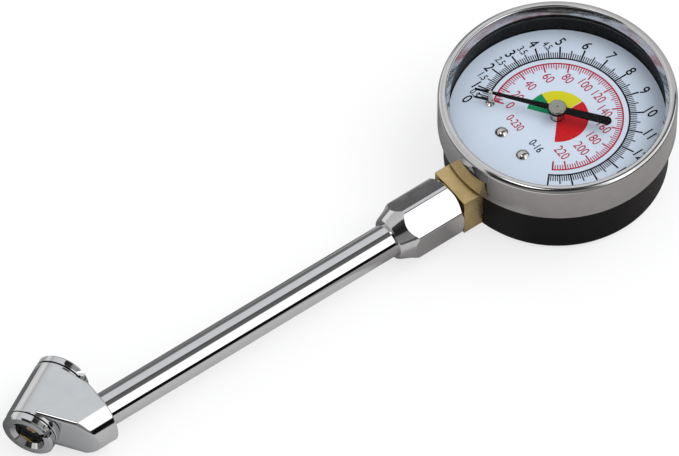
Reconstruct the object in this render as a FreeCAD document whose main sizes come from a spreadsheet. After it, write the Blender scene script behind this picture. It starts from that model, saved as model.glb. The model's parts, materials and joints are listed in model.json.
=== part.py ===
import FreeCAD, Part

import math
import os

import Sketcher
from FreeCAD import Placement, Rotation, Vector

# A dial tyre pressure gauge on a straight chromed tube with a twin push-on tyre connector.
# The gauge lies on its back on z = 0, its dial faces +Z and the tube runs towards -X.
# The origin is on the dial's axis, at the back of the case.

DOC = FreeCAD.newDocument("TyreGauge")
SHEET = DOC.addObject("Spreadsheet::Sheet", "Sizes")

DRIVING = [
    # Case, bezel and window
    ("case_radius", 32.2),
    ("case_wall", 1.0),
    ("case_floor", 1.2),
    ("case_rim", 24.9),
    ("case_corner", 2.5),
    ("bezel_wall", 1.7),
    ("bezel_skirt", 17.4),
    ("bezel_rise", 2.85),
    ("bezel_clearance", 0.1),
    ("bezel_lip", 1.7),
    ("opening_flare", 1.1),
    ("window_thickness", 1.7),
    ("gasket_thickness", 0.6),
    # Dial, pointer and stop pin
    ("dial_inset", 5.1),
    ("dial_thickness", 0.8),
    ("dial_clearance", 0.3),
    ("dial_bore", 2.0),
    ("dial_screw_x", 16.0),
    ("dial_screw_y", 4.93),
    ("dial_screw_head", 1.85),
    ("dial_screw_head_height", 1.0),
    ("dial_screw_length", 7.0),
    ("screw_shank", 1.2),
    ("post_radius", 2.4),
    ("pin_inset", 11.38),
    ("pin_place_angle", 129.7),
    ("pin_radius", 0.6),
    ("pin_foot_radius", 1.3),
    ("pin_foot_height", 0.6),
    ("pin_height", 5.5),
    ("pointer_rest_angle", 126.6),
    ("pointer_height", 3.45),
    ("pointer_thickness", 0.5),
    ("pointer_inset", 6.5),
    ("pointer_tip_width", 0.45),
    ("pointer_neck_width", 1.7),
    ("pointer_width", 2.6),
    ("pointer_tail", 14.6),
    ("bush_radius", 1.85),
    ("bush_height", 3.3),
    ("hub_radius", 2.75),
    ("cap_radius", 2.6),
    ("cap_height", 0.8),
    ("cap_dimple", 0.22),
    # Socket block and gas bore
    ("tube_height", 9.2),
    ("block_width", 14.0),
    ("block_reach", 5.85),
    ("block_inner_end", 12.9),
    ("ledge_end", 6.0),
    ("spigot_radius", 4.86),
    ("spigot_length", 9.4),
    ("gas_bore", 2.0),
    ("gas_bore_inset", 2.0),
    ("washer_thickness", 0.55),
    ("washer_radius", 6.8),
    # Hexagon adapter and tube
    ("hex_across_flats", 15.7),
    ("hex_length", 15.2),
    ("hex_face_chamfer", 1.0),
    ("hex_neck_run", 5.7),
    ("hex_neck_radius", 6.4),
    ("hex_neck_chamfer", 2.0),
    ("tube_radius", 5.0),
    ("tube_bore", 3.0),
    ("tube_setback", 12.45),
    ("tube_length", 117.0),
    ("fit_clearance", 0.04),
    # Twin connector
    ("head_run", 10.93),
    ("head_y", 11.25),
    ("head_angle", 28.9),
    ("head_radius", 7.9),
    ("head_half_length", 9.0),
    ("barrel_radius", 8.5),
    ("barrel_edge", 0.5),
    ("socket_depth", 9.3),
    ("web_front_run", 7.5),
    ("web_rear_width", 6.0),
    ("web_top_edge", 1.2),
    ("web_low_edge", 4.2),
    ("web_relief", 0.02),
    ("web_setback", 0.45),
    ("head_edge", 0.35),
    ("nose_edge", 2.2),
    ("chamber_radius", 4.5),
    ("web_half", 0.75),
    ("web_hole", 1.2),
    ("passage_radius", 1.5),
    ("passage_station", 3.3),
    ("seal_seat", 6.2),
    ("seal_radius", 5.95),
    ("seal_thickness", 2.0),
    ("seal_hole", 2.75),
    ("cap_ring_radius", 7.8),
    ("cap_ring_gap", 0.38),
    ("cap_ring_face", 11.66),
    ("cap_ring_edge", 0.5),
    ("mouth_radius", 4.2),
    ("mouth_flare", 1.15),
    ("mouth_length", 1.2),
    ("mouth_relief", 0.5),
    ("slot_start_angle", 98.0),
    ("slot_end_angle", 149.0),
    ("slot_notch_angle", 136.0),
    ("slot_near", 9.75),
    ("slot_far", 11.05),
    ("slot_floor", 5.7),
    ("front_slot_turn", 4.0),
    ("depressor_flange", 3.9),
    ("depressor_flange_thickness", 1.45),
    ("depressor_tip_radius", 2.35),
    ("depressor_tip", 9.1),
    ("depressor_stem", 2.6),
    ("depressor_stem_radius", 1.5),
    ("running_gap", 0.05),
    ("spring_radius", 2.6),
    ("spring_wire", 0.3),
    ("spring_turns", 3),
    # Movement
    ("bourdon_inset", 8.2),
    ("bourdon_thickness", 3.0),
    ("bourdon_height", 9.0),
    ("bourdon_wall", 0.45),
    ("bourdon_start_angle", 167.0),
    ("bourdon_sweep_angle", 262.0),
    ("tip_pin_inset", 2.905),
    ("tip_pin_angle", -95.44),
    ("tip_block_depth", 2.4),
    ("ledge_thickness", 3.2),
    ("plate_thickness", 1.2),
    ("plate_gap", 8.0),
    ("pillar_radius", 1.6),
    ("small_thread", 0.8),
    ("small_screw_reach", 3.0),
    ("small_screw_room", 0.5),
    ("small_screw_head", 1.0),
    ("movement_screw_head", 1.2),
    ("movement_slot_half", 0.3),
    ("movement_slot_floor", 0.7),
    ("movement_screw_x", 9.5),
    ("movement_screw_y", 4.0),
    ("gear_module", 0.3),
    ("pinion_teeth", 10),
    ("sector_full_teeth", 70),
    ("sector_teeth", 12),
    ("sector_place_angle", -120.0),
    ("sector_thickness", 1.0),
    ("sector_rise", 4.7),
    ("sector_rim_depth", 2.4),
    ("sector_hub_radius", 2.0),
    ("sector_hub_rise", 1.2),
    ("tail_length", 6.0),
    ("tail_angle", -135.0),
    ("small_pin", 0.5),
    ("small_pin_head", 0.9),
    ("link_thickness", 0.7),
    ("link_width", 2.6),
    ("link_free_hole", 0.85),
    ("arbor_radius", 0.75),
    ("sector_arbor_radius", 0.9),
    ("collet_radius", 1.4),
    ("hairspring_inner", 1.6),
    ("hairspring_pitch", 0.72),
    ("hairspring_turns", 5),
    ("hairspring_thick", 0.16),
    ("hairspring_rise", 7.2),
    ("hairspring_height", 0.8),
    # Case screws and blow-out plug
    ("case_screw_inset", 12.2),
    ("case_screw_y", 4.2),
    ("case_screw_head", 2.7),
    ("case_screw_head_height", 0.9),
    ("plug_x", 14.0),
    ("plug_y", 8.0),
    ("plug_hole", 4.5),
    ("plug_lip", 0.7),
]


class Size:
    """A length with the formula that gives it in the sheet."""

    def __init__(self, value, text):
        self.value = float(value)
        self.text = text

    def __add__(self, other):
        other = as_size(other)
        return Size(self.value + other.value, f"({self.text} + {other.text})")

    def __sub__(self, other):
        other = as_size(other)
        return Size(self.value - other.value, f"({self.text} - {other.text})")

    def __mul__(self, other):
        other = as_size(other)
        return Size(self.value * other.value, f"({self.text} * {other.text})")

    def __truediv__(self, other):
        other = as_size(other)
        return Size(self.value / other.value, f"({self.text} / {other.text})")

    def __radd__(self, other):
        return as_size(other) + self

    def __rsub__(self, other):
        return as_size(other) - self

    def __rmul__(self, other):
        return as_size(other) * self

    def __neg__(self):
        return Size(-self.value, f"(-1 * {self.text})")

    def __float__(self):
        return self.value


def as_size(number):
    return number if isinstance(number, Size) else Size(number, repr(float(number)))


def cosine(angle):
    angle = as_size(angle)
    return Size(math.cos(math.radians(angle.value)), f"cos({angle.text} * 1 deg)")


def sine(angle):
    angle = as_size(angle)
    return Size(math.sin(math.radians(angle.value)), f"sin({angle.text} * 1 deg)")


def fill_sheet():
    sizes = {}
    for row, (name, value) in enumerate(DRIVING, start=1):
        SHEET.set(f"A{row}", name)
        SHEET.set(f"B{row}", str(value))
        SHEET.setAlias(f"B{row}", name)
        sizes[name] = Size(value, f"Sizes.{name}")
    DOC.recompute()
    return sizes


def add_followers(size):
    """Add the sizes that follow others, so that neighbouring pieces move and grow together."""
    size["bezel_bore"] = size["case_radius"] + size["bezel_clearance"]
    size["bezel_radius"] = size["bezel_bore"] + size["bezel_wall"]
    size["opening_radius"] = size["case_radius"] - size["bezel_lip"]
    size["case_bore"] = size["case_radius"] - size["case_wall"]
    size["dial_radius"] = size["case_bore"] - size["dial_clearance"]
    size["dial_top"] = size["case_rim"] - size["dial_inset"]
    size["pin_place_radius"] = size["dial_radius"] - size["pin_inset"]
    size["pointer_reach"] = size["dial_radius"] - size["pointer_inset"]
    size["bourdon_radius"] = size["case_radius"] - size["bourdon_inset"]
    size["gas_bore_end"] = size["bourdon_radius"] - size["gas_bore_inset"]
    tip_radius = size["bourdon_radius"] - size["tip_pin_inset"]
    size["tip_pin_x"] = tip_radius * cosine(size["tip_pin_angle"])
    size["tip_pin_y"] = tip_radius * sine(size["tip_pin_angle"])
    size["case_screw_x"] = size["case_radius"] - size["case_screw_inset"]
    size["block_low"] = size["tube_height"] - size["block_width"] / 2
    size["plate_low"] = size["block_low"] + size["ledge_thickness"]
    size["sector_low"] = size["plate_low"] + size["sector_rise"]
    size["hairspring_low"] = size["plate_low"] + size["hairspring_rise"]
    size["block_face"] = size["case_radius"] + size["block_reach"]
    size["tube_start"] = size["block_face"] + size["tube_setback"]
    size["tube_end"] = size["tube_start"] + size["tube_length"]
    size["barrel_end"] = size["tube_end"] - size["socket_depth"]
    size["head_x"] = size["barrel_end"] + size["head_run"]
    return size


D = add_followers(fill_sheet())


def bind(item, path, size):
    """Set a property to a size and tie it to the sheet."""
    size = as_size(size)
    if "Sizes." in size.text:
        item.setExpression(path, size.text)


def put(item, x=0, y=0, z=0, turn=None):
    """Place an object, its position tied to the sheet."""
    place = [as_size(v) for v in (x, y, z)]
    item.Placement = Placement(Vector(*[v.value for v in place]), turn or Rotation())
    for axis, v in zip("xyz", place):
        bind(item, f"Placement.Base.{axis}", v)
    return item


def about_z(angle):
    return Rotation(Vector(0, 0, 1), float(as_size(angle)))


ALONG_TUBE = Rotation(Vector(0, 1, 0), -90)
HEAD_AXIS = about_z(D["head_angle"]).multVec(Vector(1, 0, 0))
HEAD_SIDE = Vector(-HEAD_AXIS.y, HEAD_AXIS.x, 0)
FACING_REAR = Rotation(HEAD_SIDE, Vector(0, 0, 1), HEAD_AXIS, "ZXY")
FACING_FRONT = Rotation(HEAD_SIDE * -1, Vector(0, 0, 1), HEAD_AXIS * -1, "ZXY")


# Helpers for sketches, turned bodies and primitives


def tie_point(sketch, index, point, x, y):
    """Hold one sketch point at x, y from the sketch's origin."""
    for kind, size, axis in (("DistanceX", x, -2), ("DistanceY", y, -1)):
        size = as_size(size)
        if size.value == 0 and "Sizes." not in size.text:
            sketch.addConstraint(Sketcher.Constraint("PointOnObject", index, point, axis))
            continue
        number = sketch.addConstraint(Sketcher.Constraint(kind, -1, 1, index, point, size.value))
        bind(sketch, f"Constraints[{number}]", size)


def outline(sketch, points):
    """Draw a closed outline of straight runs through the points."""
    ends = [Vector(float(as_size(x)), float(as_size(y)), 0) for x, y in points]
    first = sketch.GeometryCount
    count = len(points)
    for i in range(count):
        sketch.addGeometry(Part.LineSegment(ends[i], ends[(i + 1) % count]))
    for i in range(count):
        follower = first + (i + 1) % count
        sketch.addConstraint(Sketcher.Constraint("Coincident", first + i, 2, follower, 1))
        tie_point(sketch, first + i, 1, *points[i])


def circle(sketch, x, y, radius):
    index = sketch.addGeometry(Part.Circle(Vector(float(as_size(x)), float(as_size(y)), 0),
                                           Vector(0, 0, 1), float(as_size(radius))))
    number = sketch.addConstraint(Sketcher.Constraint("Radius", index, float(as_size(radius))))
    bind(sketch, f"Constraints[{number}]", radius)
    tie_point(sketch, index, 3, x, y)


def new_body(label):
    body = DOC.addObject("PartDesign::Body", label)
    body.Label = label
    return body


def sketch_on(body, role, offset=0):
    """Add a sketch on one of the body's own origin planes."""
    sketch = body.newObject("Sketcher::SketchObject", f"{body.Name}_sketch")
    plane = next(item for item in body.Origin.OriginFeatures if item.Role == role)
    sketch.AttachmentSupport = [(plane, "")]
    sketch.MapMode = "FlatFace"
    offset = as_size(offset)
    sketch.AttachmentOffset = Placement(Vector(0, 0, offset.value), Rotation())
    bind(sketch, "AttachmentOffset.Base.z", offset)
    return sketch


def turned(label, points):
    """Make a body by turning an outline of (radius, height) points about its Z axis."""
    body = new_body(label)
    sketch = sketch_on(body, "XZ_Plane")
    outline(sketch, points)
    feature = body.newObject("PartDesign::Revolution", f"{label}_turned")
    feature.Profile = sketch
    feature.ReferenceAxis = (sketch, ["V_Axis"])
    feature.Angle = 360
    DOC.recompute()
    return body


def groove(body, points):
    sketch = sketch_on(body, "XZ_Plane")
    outline(sketch, points)
    feature = body.newObject("PartDesign::Groove", f"{body.Name}_groove")
    feature.Profile = sketch
    feature.ReferenceAxis = (sketch, ["V_Axis"])
    feature.Angle = 360
    DOC.recompute()


def pad(body, sketch, length):
    feature = body.newObject("PartDesign::Pad", f"{body.Name}_pad")
    feature.Profile = sketch
    feature.Length = float(as_size(length))
    bind(feature, "Length", length)
    DOC.recompute()
    return feature


def pocket(body, sketch, length, both_ways=False):
    """Cut a sketch out of the body, away from the sketch's normal or to both sides."""
    before = body.Shape.Volume
    feature = body.newObject("PartDesign::Pocket", f"{body.Name}_pocket")
    feature.Profile = sketch
    feature.Length = float(as_size(length))
    feature.Midplane = both_ways
    bind(feature, "Length", length)
    DOC.recompute()
    if body.Shape.Volume > before - 1e-6:
        raise ValueError(f"a pocket in {body.Label} cuts nothing")


def edges_where(shape, test):
    return [f"Edge{i}" for i, edge in enumerate(shape.Edges, start=1) if test(edge)]


def ring_edge(radius, height):
    """A test for the round edge of this radius at this height."""
    radius, height = float(as_size(radius)), float(as_size(height))

    def test(edge):
        round_edge = isinstance(edge.Curve, Part.Circle)
        return (round_edge and abs(edge.Curve.Radius - radius) < 1e-4
                and abs(edge.BoundBox.ZMin - height) < 1e-4 and abs(edge.BoundBox.ZMax - height) < 1e-4)

    return test


def dress(body, kind, test, size):
    """Fillet or chamfer the body's edges that pass the test."""
    base = body.Tip
    names = edges_where(base.Shape, test)
    if not names:
        raise ValueError(f"no edge to dress on {body.Label}")
    feature = body.newObject(f"PartDesign::{kind}", f"{body.Name}_{kind}")
    feature.Base = (base, names)
    field = "Radius" if kind == "Fillet" else "Size"
    setattr(feature, field, float(as_size(size)))
    bind(feature, field, size)
    DOC.recompute()


def cylinder(name, radius, height, x=0, y=0, z=0, turn=None):
    item = DOC.addObject("Part::Cylinder", name)
    bind(item, "Radius", radius)
    bind(item, "Height", height)
    item.Radius, item.Height = float(as_size(radius)), float(as_size(height))
    bind(item, "Radius", radius)
    bind(item, "Height", height)
    return put(item, x, y, z, turn)


def box(name, low, high, turn=None, at=(0, 0, 0)):
    """A box between two corners, given before the turn and the move to its place."""
    item = DOC.addObject("Part::Box", name)
    low, high = [as_size(v) for v in low], [as_size(v) for v in high]
    for field, a, b in zip(("Length", "Width", "Height"), low, high):
        setattr(item, field, (b - a).value)
        bind(item, field, b - a)
    turn = turn or Rotation()
    corner = turn.multVec(Vector(*[v.value for v in low]))
    if turn.isIdentity():
        return put(item, *[a + as_size(b) for a, b in zip(low, at)], turn)
    base = Vector(*[float(as_size(v)) for v in at]) + corner
    item.Placement = Placement(base, turn)
    return item


def join(label, items):
    item = DOC.addObject("Part::MultiFuse", label)
    item.Shapes = items
    item.Label = label
    return item


def cut(label, base, tool):
    item = DOC.addObject("Part::Cut", label)
    item.Base, item.Tool = base, tool
    item.Label = label
    return item


def common(label, first, second):
    item = DOC.addObject("Part::Common", label)
    item.Base, item.Tool = first, second
    item.Label = label
    return item


def group(label, items):
    """Several separate solids in one node."""
    item = DOC.addObject("Part::Compound", label)
    item.Links = items
    item.Label = label
    return item


def shaped(label, shape, place=None):
    """A piece whose shape has no primitive or sketch feature of its own."""
    item = DOC.addObject("Part::Feature", label)
    item.Shape = shape
    item.Label = label
    if place:
        item.Placement = place
    return item


NODES = {}


def keep(item):
    """Register a finished piece under its node name."""
    NODES[item.Label] = item
    return item


# Sizes worked out from the driving ones

BLOCK_LOW = D["block_low"]
BLOCK_TOP = D["tube_height"] + D["block_width"] / 2
DIAL_LOW = D["dial_top"] - D["dial_thickness"]
GASKET_TOP = D["case_rim"] + D["gasket_thickness"]
WINDOW_TOP = GASKET_TOP + D["window_thickness"]
LIP_LOW = WINDOW_TOP + D["running_gap"]
BEZEL_TOP = LIP_LOW + D["bezel_rise"]
POINTER_LOW = D["dial_top"] + D["pointer_height"]
POINTER_TOP = POINTER_LOW + D["pointer_thickness"]
PLATE_TOP_LOW = D["plate_low"] + D["plate_thickness"] + D["plate_gap"]
PLATE_TOP_HIGH = PLATE_TOP_LOW + D["plate_thickness"]
SECTOR_HIGH = D["sector_low"] + D["sector_thickness"]
PITCH_PINION = D["gear_module"] * D["pinion_teeth"] / 2
PITCH_SECTOR = D["gear_module"] * D["sector_full_teeth"] / 2
GEAR_DISTANCE = PITCH_PINION + PITCH_SECTOR
SECTOR_X = GEAR_DISTANCE * cosine(D["sector_place_angle"])
SECTOR_Y = GEAR_DISTANCE * sine(D["sector_place_angle"])
TAIL_X = SECTOR_X + D["tail_length"] * cosine(D["tail_angle"])
TAIL_Y = SECTOR_Y + D["tail_length"] * sine(D["tail_angle"])
PIN_X = D["pin_place_radius"] * cosine(D["pin_place_angle"])
PIN_Y = D["pin_place_radius"] * sine(D["pin_place_angle"])
HEX_FACE = D["block_face"] + D["washer_thickness"]
HEX_NECK = HEX_FACE + D["hex_length"]
HEX_END = HEX_NECK + D["hex_neck_run"]
DIAL_SCREWS = [(-D["dial_screw_x"], side * D["dial_screw_y"]) for side in (1, -1)]
CASE_SCREWS = [(-D["case_screw_x"], side * D["case_screw_y"]) for side in (1, -1)]
MOVEMENT_SCREWS = [(-D["movement_screw_x"], side * D["movement_screw_y"]) for side in (1, -1)]
PILLARS = [(5.5, -12.5), (7.6, 2.7), (-4.0, 7.5)]
PLATE_OUTLINE = [
    (-12.7, -6.8), (-8.5, -14.0), (7.5, -15.0), (10.6, 0.5), (9.5, 4.8), (-3.0, 10.0), (-12.7, 6.8)]
PILLAR_SPIGOT = 1.0
THREAD_DEPTH = 4.0
OVERRUN = 1.0


# Case, bezel and window


def gauge_case():
    radius, floor, rim = D["case_radius"], D["case_floor"], D["case_rim"]
    inner = radius - D["case_wall"]
    case = turned("gauge_case", [
        (0, 0), (radius, 0), (radius, rim), (inner, rim), (inner, floor), (0, floor)])
    dress(case, "Fillet", ring_edge(inner, floor), D["case_corner"] - D["case_wall"])
    dress(case, "Fillet", ring_edge(radius, 0), D["case_corner"])
    seats = sketch_on(case, "XY_Plane", floor - 0.2)
    for x, y in CASE_SCREWS:
        circle(seats, x, y, D["case_screw_head"] + 1.0)
    pad(case, seats, BLOCK_LOW - floor + 0.2)
    sunk = sketch_on(case, "XY_Plane", D["case_floor"])
    holes = sketch_on(case, "XY_Plane", BLOCK_LOW)
    for x, y in CASE_SCREWS:
        circle(sunk, x, y, D["case_screw_head"] + D["fit_clearance"] * 2)
        circle(holes, x, y, D["screw_shank"] + D["bezel_clearance"] * 2)
    circle(sunk, D["plug_x"], D["plug_y"], D["plug_hole"])
    pocket(case, sunk, D["case_floor"])
    pocket(case, holes, BLOCK_LOW)
    opening = sketch_on(case, "YZ_Plane", -D["case_radius"] + D["case_corner"] * 2)
    half = D["block_width"] / 2 + 0.15
    low, high = D["tube_height"] - half, D["tube_height"] + half
    outline(opening, [(-half, low), (half, low), (half, high), (-half, high)])
    pocket(case, opening, D["case_corner"] * 2 + OVERRUN)
    return keep(case)


def bezel_ring():
    outer, bore, wall = D["bezel_radius"], D["bezel_bore"], D["bezel_wall"]
    flare = D["opening_radius"] + D["opening_flare"]
    bezel = turned("bezel_ring", [
        (bore, D["bezel_skirt"]), (outer, D["bezel_skirt"]), (outer, BEZEL_TOP), (flare, BEZEL_TOP),
        (D["opening_radius"], LIP_LOW), (bore, LIP_LOW)])
    dress(bezel, "Fillet", ring_edge(outer, BEZEL_TOP), wall * 0.94)
    dress(bezel, "Fillet", ring_edge(flare, BEZEL_TOP), wall * 0.36)
    dress(bezel, "Fillet", ring_edge(outer, D["bezel_skirt"]), wall * 0.18)
    return keep(bezel)


def window_pieces():
    glass_radius = D["case_radius"] - D["bezel_clearance"]
    window = turned("dial_window", [
        (0, GASKET_TOP), (glass_radius, GASKET_TOP), (glass_radius, WINDOW_TOP), (0, WINDOW_TOP)])
    inner = D["case_radius"] - D["case_wall"] - 0.2
    gasket = turned("window_gasket", [
        (inner, D["case_rim"]), (glass_radius, D["case_rim"]), (glass_radius, GASKET_TOP),
        (inner, GASKET_TOP)])
    keep(window)
    keep(gasket)


def case_screws():
    screws = []
    for x, y in CASE_SCREWS:
        low = D["case_floor"] - D["case_screw_head_height"]
        head = cylinder("case_screw_head", D["case_screw_head"], D["case_screw_head_height"], x, y, low)
        shank = cylinder("case_screw_shank", D["screw_shank"], BLOCK_LOW - low + THREAD_DEPTH, x, y, low)
        drive = box("case_screw_drive", (-D["case_screw_head"], -0.35, -OVERRUN),
                    (D["case_screw_head"], 0.35, 0.45), at=(x, y, low))
        screws.append(cut("case_screw", join("case_screw_blank", [head, shank]), drive))
    return keep(group("case_screws", screws))


def blowout_plug():
    hole, lip, floor = D["plug_hole"], D["plug_lip"], D["case_floor"]
    plug = turned("blowout_plug", [
        (0, 0.2), (hole - D["fit_clearance"], 0.2), (hole - D["fit_clearance"], floor + D["fit_clearance"]),
        (hole + lip, floor + D["fit_clearance"]), (hole + lip, floor + lip), (hole - lip, floor + lip * 2),
        (0, floor + lip * 2)])
    return keep(put(plug, D["plug_x"], D["plug_y"], 0))


# Dial, pointer and stop pin


def dial_plate():
    dial = new_body("dial_plate")
    face = sketch_on(dial, "XY_Plane", DIAL_LOW)
    circle(face, 0, 0, D["dial_radius"])
    circle(face, 0, 0, D["dial_bore"])
    for x, y in DIAL_SCREWS:
        circle(face, x, y, D["screw_shank"] + D["bezel_clearance"])
    circle(face, PIN_X, PIN_Y, D["pin_radius"] + D["fit_clearance"])
    pad(dial, face, D["dial_thickness"])
    return keep(dial)


def dial_fixings():
    posts, screws = [], []
    for x, y in DIAL_SCREWS:
        blank = cylinder("dial_post_blank", D["post_radius"], DIAL_LOW - BLOCK_TOP, x, y, BLOCK_TOP)
        bore = cylinder("dial_post_bore", D["screw_shank"] + D["bezel_clearance"], DIAL_LOW - BLOCK_TOP,
                        x, y, BLOCK_TOP)
        posts.append(cut("dial_post", blank, bore))
        rise, half = D["dial_screw_head_height"], D["dial_screw_head"]
        dome_radius = (half * half + rise * rise) / (2 * rise) + 0.25
        dome = DOC.addObject("Part::Sphere", "dial_screw_dome")
        dome.Radius = dome_radius.value
        bind(dome, "Radius", dome_radius)
        put(dome, x, y, D["dial_top"] + rise - dome_radius)
        head = common("dial_screw_head", dome, cylinder("dial_screw_edge", half, rise, x, y, D["dial_top"]))
        shank = cylinder("dial_screw_shank", D["screw_shank"], D["dial_screw_length"], x, y,
                         D["dial_top"] - D["dial_screw_length"] + 0.3)
        screws.append(join("dial_screw", [head, shank]))
    keep(group("dial_posts", posts))
    keep(group("dial_screws", screws))


def stop_pin():
    top, foot = D["dial_top"], D["pin_foot_radius"]
    pin = turned("stop_pin", [
        (0, DIAL_LOW - 0.5), (foot, DIAL_LOW - 0.5), (foot, DIAL_LOW), (D["pin_radius"], DIAL_LOW),
        (D["pin_radius"], top), (foot, top), (foot, top + D["pin_foot_height"] / 2),
        (D["pin_radius"], top + D["pin_foot_height"]), (D["pin_radius"], top + D["pin_height"]),
        (0, top + D["pin_height"])])
    dress(pin, "Fillet", ring_edge(D["pin_radius"], top + D["pin_height"]), D["pin_radius"] / 2)
    return keep(put(pin, PIN_X, PIN_Y, 0))


def pointer():
    half, tip, tail = D["pointer_width"] / 2, D["pointer_tip_width"] / 2, D["pointer_tail"]
    neck, slim = D["bush_radius"] + 0.6, D["pointer_neck_width"] / 2
    blade = new_body("pointer")
    face = sketch_on(blade, "XY_Plane", POINTER_LOW)
    outline(face, [(-tail, -half), (-neck, -half * 0.8), (neck, -slim), (D["pointer_reach"], -tip),
                   (D["pointer_reach"], tip), (neck, slim), (-neck, half * 0.8), (-tail, half)])
    pad(blade, face, D["pointer_thickness"])
    for x, radius in ((-tail, half), (0, D["hub_radius"])):
        disc = sketch_on(blade, "XY_Plane", POINTER_LOW)
        circle(disc, x, 0, radius)
        pad(blade, disc, D["pointer_thickness"])
    bore = sketch_on(blade, "XY_Plane", POINTER_TOP)
    circle(bore, 0, 0, D["arbor_radius"] + D["fit_clearance"])
    pocket(blade, bore, D["pointer_thickness"])
    blade.Placement = Placement(Vector(), about_z(D["pointer_rest_angle"]))
    return keep(blade)


def pointer_hub():
    bore = D["arbor_radius"] + D["fit_clearance"]
    low = POINTER_LOW - D["bush_height"]
    bush = turned("pointer_bush", [
        (bore, low), (D["bush_radius"], low), (D["bush_radius"], POINTER_LOW), (bore, POINTER_LOW)])
    top = POINTER_TOP + D["cap_height"]
    cap = turned("pointer_cap", [
        (bore, POINTER_TOP), (D["cap_radius"], POINTER_TOP), (D["cap_radius"], top), (D["cap_dimple"], top),
        (D["cap_dimple"], top - 0.25), (bore, top - 0.25)])
    dress(cap, "Fillet", ring_edge(D["cap_radius"], top), D["cap_height"] / 2)
    keep(bush)
    keep(cap)


# Socket block, washer, hexagon adapter and tube


def socket_block():
    half = D["block_width"] / 2
    stem = box("stem_square", (-D["block_face"], -half, BLOCK_LOW), (-D["block_inner_end"], half, BLOCK_TOP))
    ledge = box("stem_ledge", (-D["block_inner_end"] - OVERRUN, -half, BLOCK_LOW),
                (-D["ledge_end"], half, D["plate_low"]))
    spigot = cylinder("stem_spigot", D["spigot_radius"], D["spigot_length"] + OVERRUN,
                      -D["block_face"] + OVERRUN, 0, D["tube_height"], ALONG_TUBE)
    reach = D["block_face"] + D["spigot_length"] - D["gas_bore_end"]
    bore = cylinder("stem_bore", D["gas_bore"], reach + OVERRUN, -D["gas_bore_end"], 0, D["tube_height"],
                    ALONG_TUBE)
    half_slot = D["bourdon_thickness"] / 2 + 0.45
    slot_x = D["bourdon_radius"] * cosine(D["bourdon_start_angle"] - 2)
    slot_depth = half - D["bourdon_radius"] * sine(D["bourdon_start_angle"]) + 0.5
    slot_half_height = D["bourdon_height"] / 2 + 0.15
    slot = box("stem_slot", (slot_x - half_slot, half - slot_depth, D["tube_height"] - slot_half_height),
               (slot_x + half_slot, half + OVERRUN, D["tube_height"] + slot_half_height))
    port = cylinder("stem_port", D["gas_bore"] / 2, half, slot_x, 0, D["tube_height"],
                    Rotation(Vector(1, 0, 0), -90))
    tools = [bore, slot, port]
    for x, y in DIAL_SCREWS:
        tools.append(cylinder("dial_screw_hole", D["screw_shank"] + D["fit_clearance"],
                              D["dial_screw_length"], x, y, D["dial_top"] - D["dial_screw_length"]))
    for x, y in CASE_SCREWS:
        tools.append(cylinder("case_screw_hole", D["screw_shank"] + D["fit_clearance"],
                              THREAD_DEPTH + 0.5 + OVERRUN, x, y, BLOCK_LOW - OVERRUN))
    for x, y in MOVEMENT_SCREWS:
        tools.append(cylinder("plate_screw_hole", D["screw_shank"] + D["fit_clearance"],
                              D["plate_low"] - BLOCK_LOW, x, y, BLOCK_LOW + 0.4))
    blank = join("socket_blank", [stem, ledge, spigot])
    return keep(cut("socket_block", blank, join("socket_holes", tools)))


def stem_washer():
    inner = D["spigot_radius"] + D["bezel_clearance"]
    washer = turned("stem_washer", [
        (inner, 0), (D["washer_radius"], 0), (D["washer_radius"], D["washer_thickness"]),
        (inner, D["washer_thickness"])])
    return keep(put(washer, -D["block_face"], 0, D["tube_height"], ALONG_TUBE))


def hex_adapter():
    """A hexagon with its corner up, cut by cones at both ends, with a neck round the tube."""
    corner = D["hex_across_flats"] / 2 / cosine(30)
    flat = D["hex_across_flats"] / 2
    length, run = D["hex_length"], D["hex_neck_run"]
    total = length + run
    prism = DOC.addObject("Part::Prism", "hex_prism")
    prism.Polygon = 6
    bind(prism, "Circumradius", corner)
    bind(prism, "Height", total)
    put(prism, -HEX_FACE, 0, D["tube_height"], ALONG_TUBE)
    envelope = turned("hex_envelope", [
        (0, 0), (flat, 0), (corner + 0.05, D["hex_face_chamfer"]), (corner + 0.05, length),
        (flat, length + D["hex_neck_chamfer"]), (D["hex_neck_radius"], total - 0.3),
        (D["hex_neck_radius"] - 0.3, total), (0, total)])
    put(envelope, -HEX_FACE, 0, D["tube_height"], ALONG_TUBE)
    blank = common("hex_blank", prism, envelope)
    thread_reach = D["block_face"] + D["spigot_length"] + 0.4 - HEX_FACE
    thread = cylinder("hex_thread", D["spigot_radius"] + D["fit_clearance"], thread_reach + OVERRUN,
                      -HEX_FACE + OVERRUN, 0, D["tube_height"], ALONG_TUBE)
    gas = cylinder("hex_gas", D["gas_bore"], total, -HEX_FACE, 0, D["tube_height"], ALONG_TUBE)
    seat_length = HEX_END - D["tube_start"]
    seat = cylinder("hex_seat", D["tube_radius"] + D["fit_clearance"], seat_length + OVERRUN,
                    -D["tube_start"] + D["running_gap"], 0, D["tube_height"], ALONG_TUBE)
    return keep(cut("hex_adapter", blank, join("hex_bores", [thread, gas, seat])))


def extension_tube():
    length = D["tube_end"] - D["tube_start"]
    tube = turned("extension_tube", [
        (D["tube_bore"], 0), (D["tube_radius"], 0), (D["tube_radius"], length), (D["tube_bore"], length)])
    return keep(put(tube, -D["tube_start"], 0, D["tube_height"], ALONG_TUBE))


# Twin connector


def head_point(station, side=0):
    """The plan position of a point given along and across the head's axis."""
    across, along = D["head_angle"], station
    x = -D["head_x"] + along * cosine(across) - side * sine(across)
    y = D["head_y"] + along * sine(across) + side * cosine(across)
    return x, y


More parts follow.
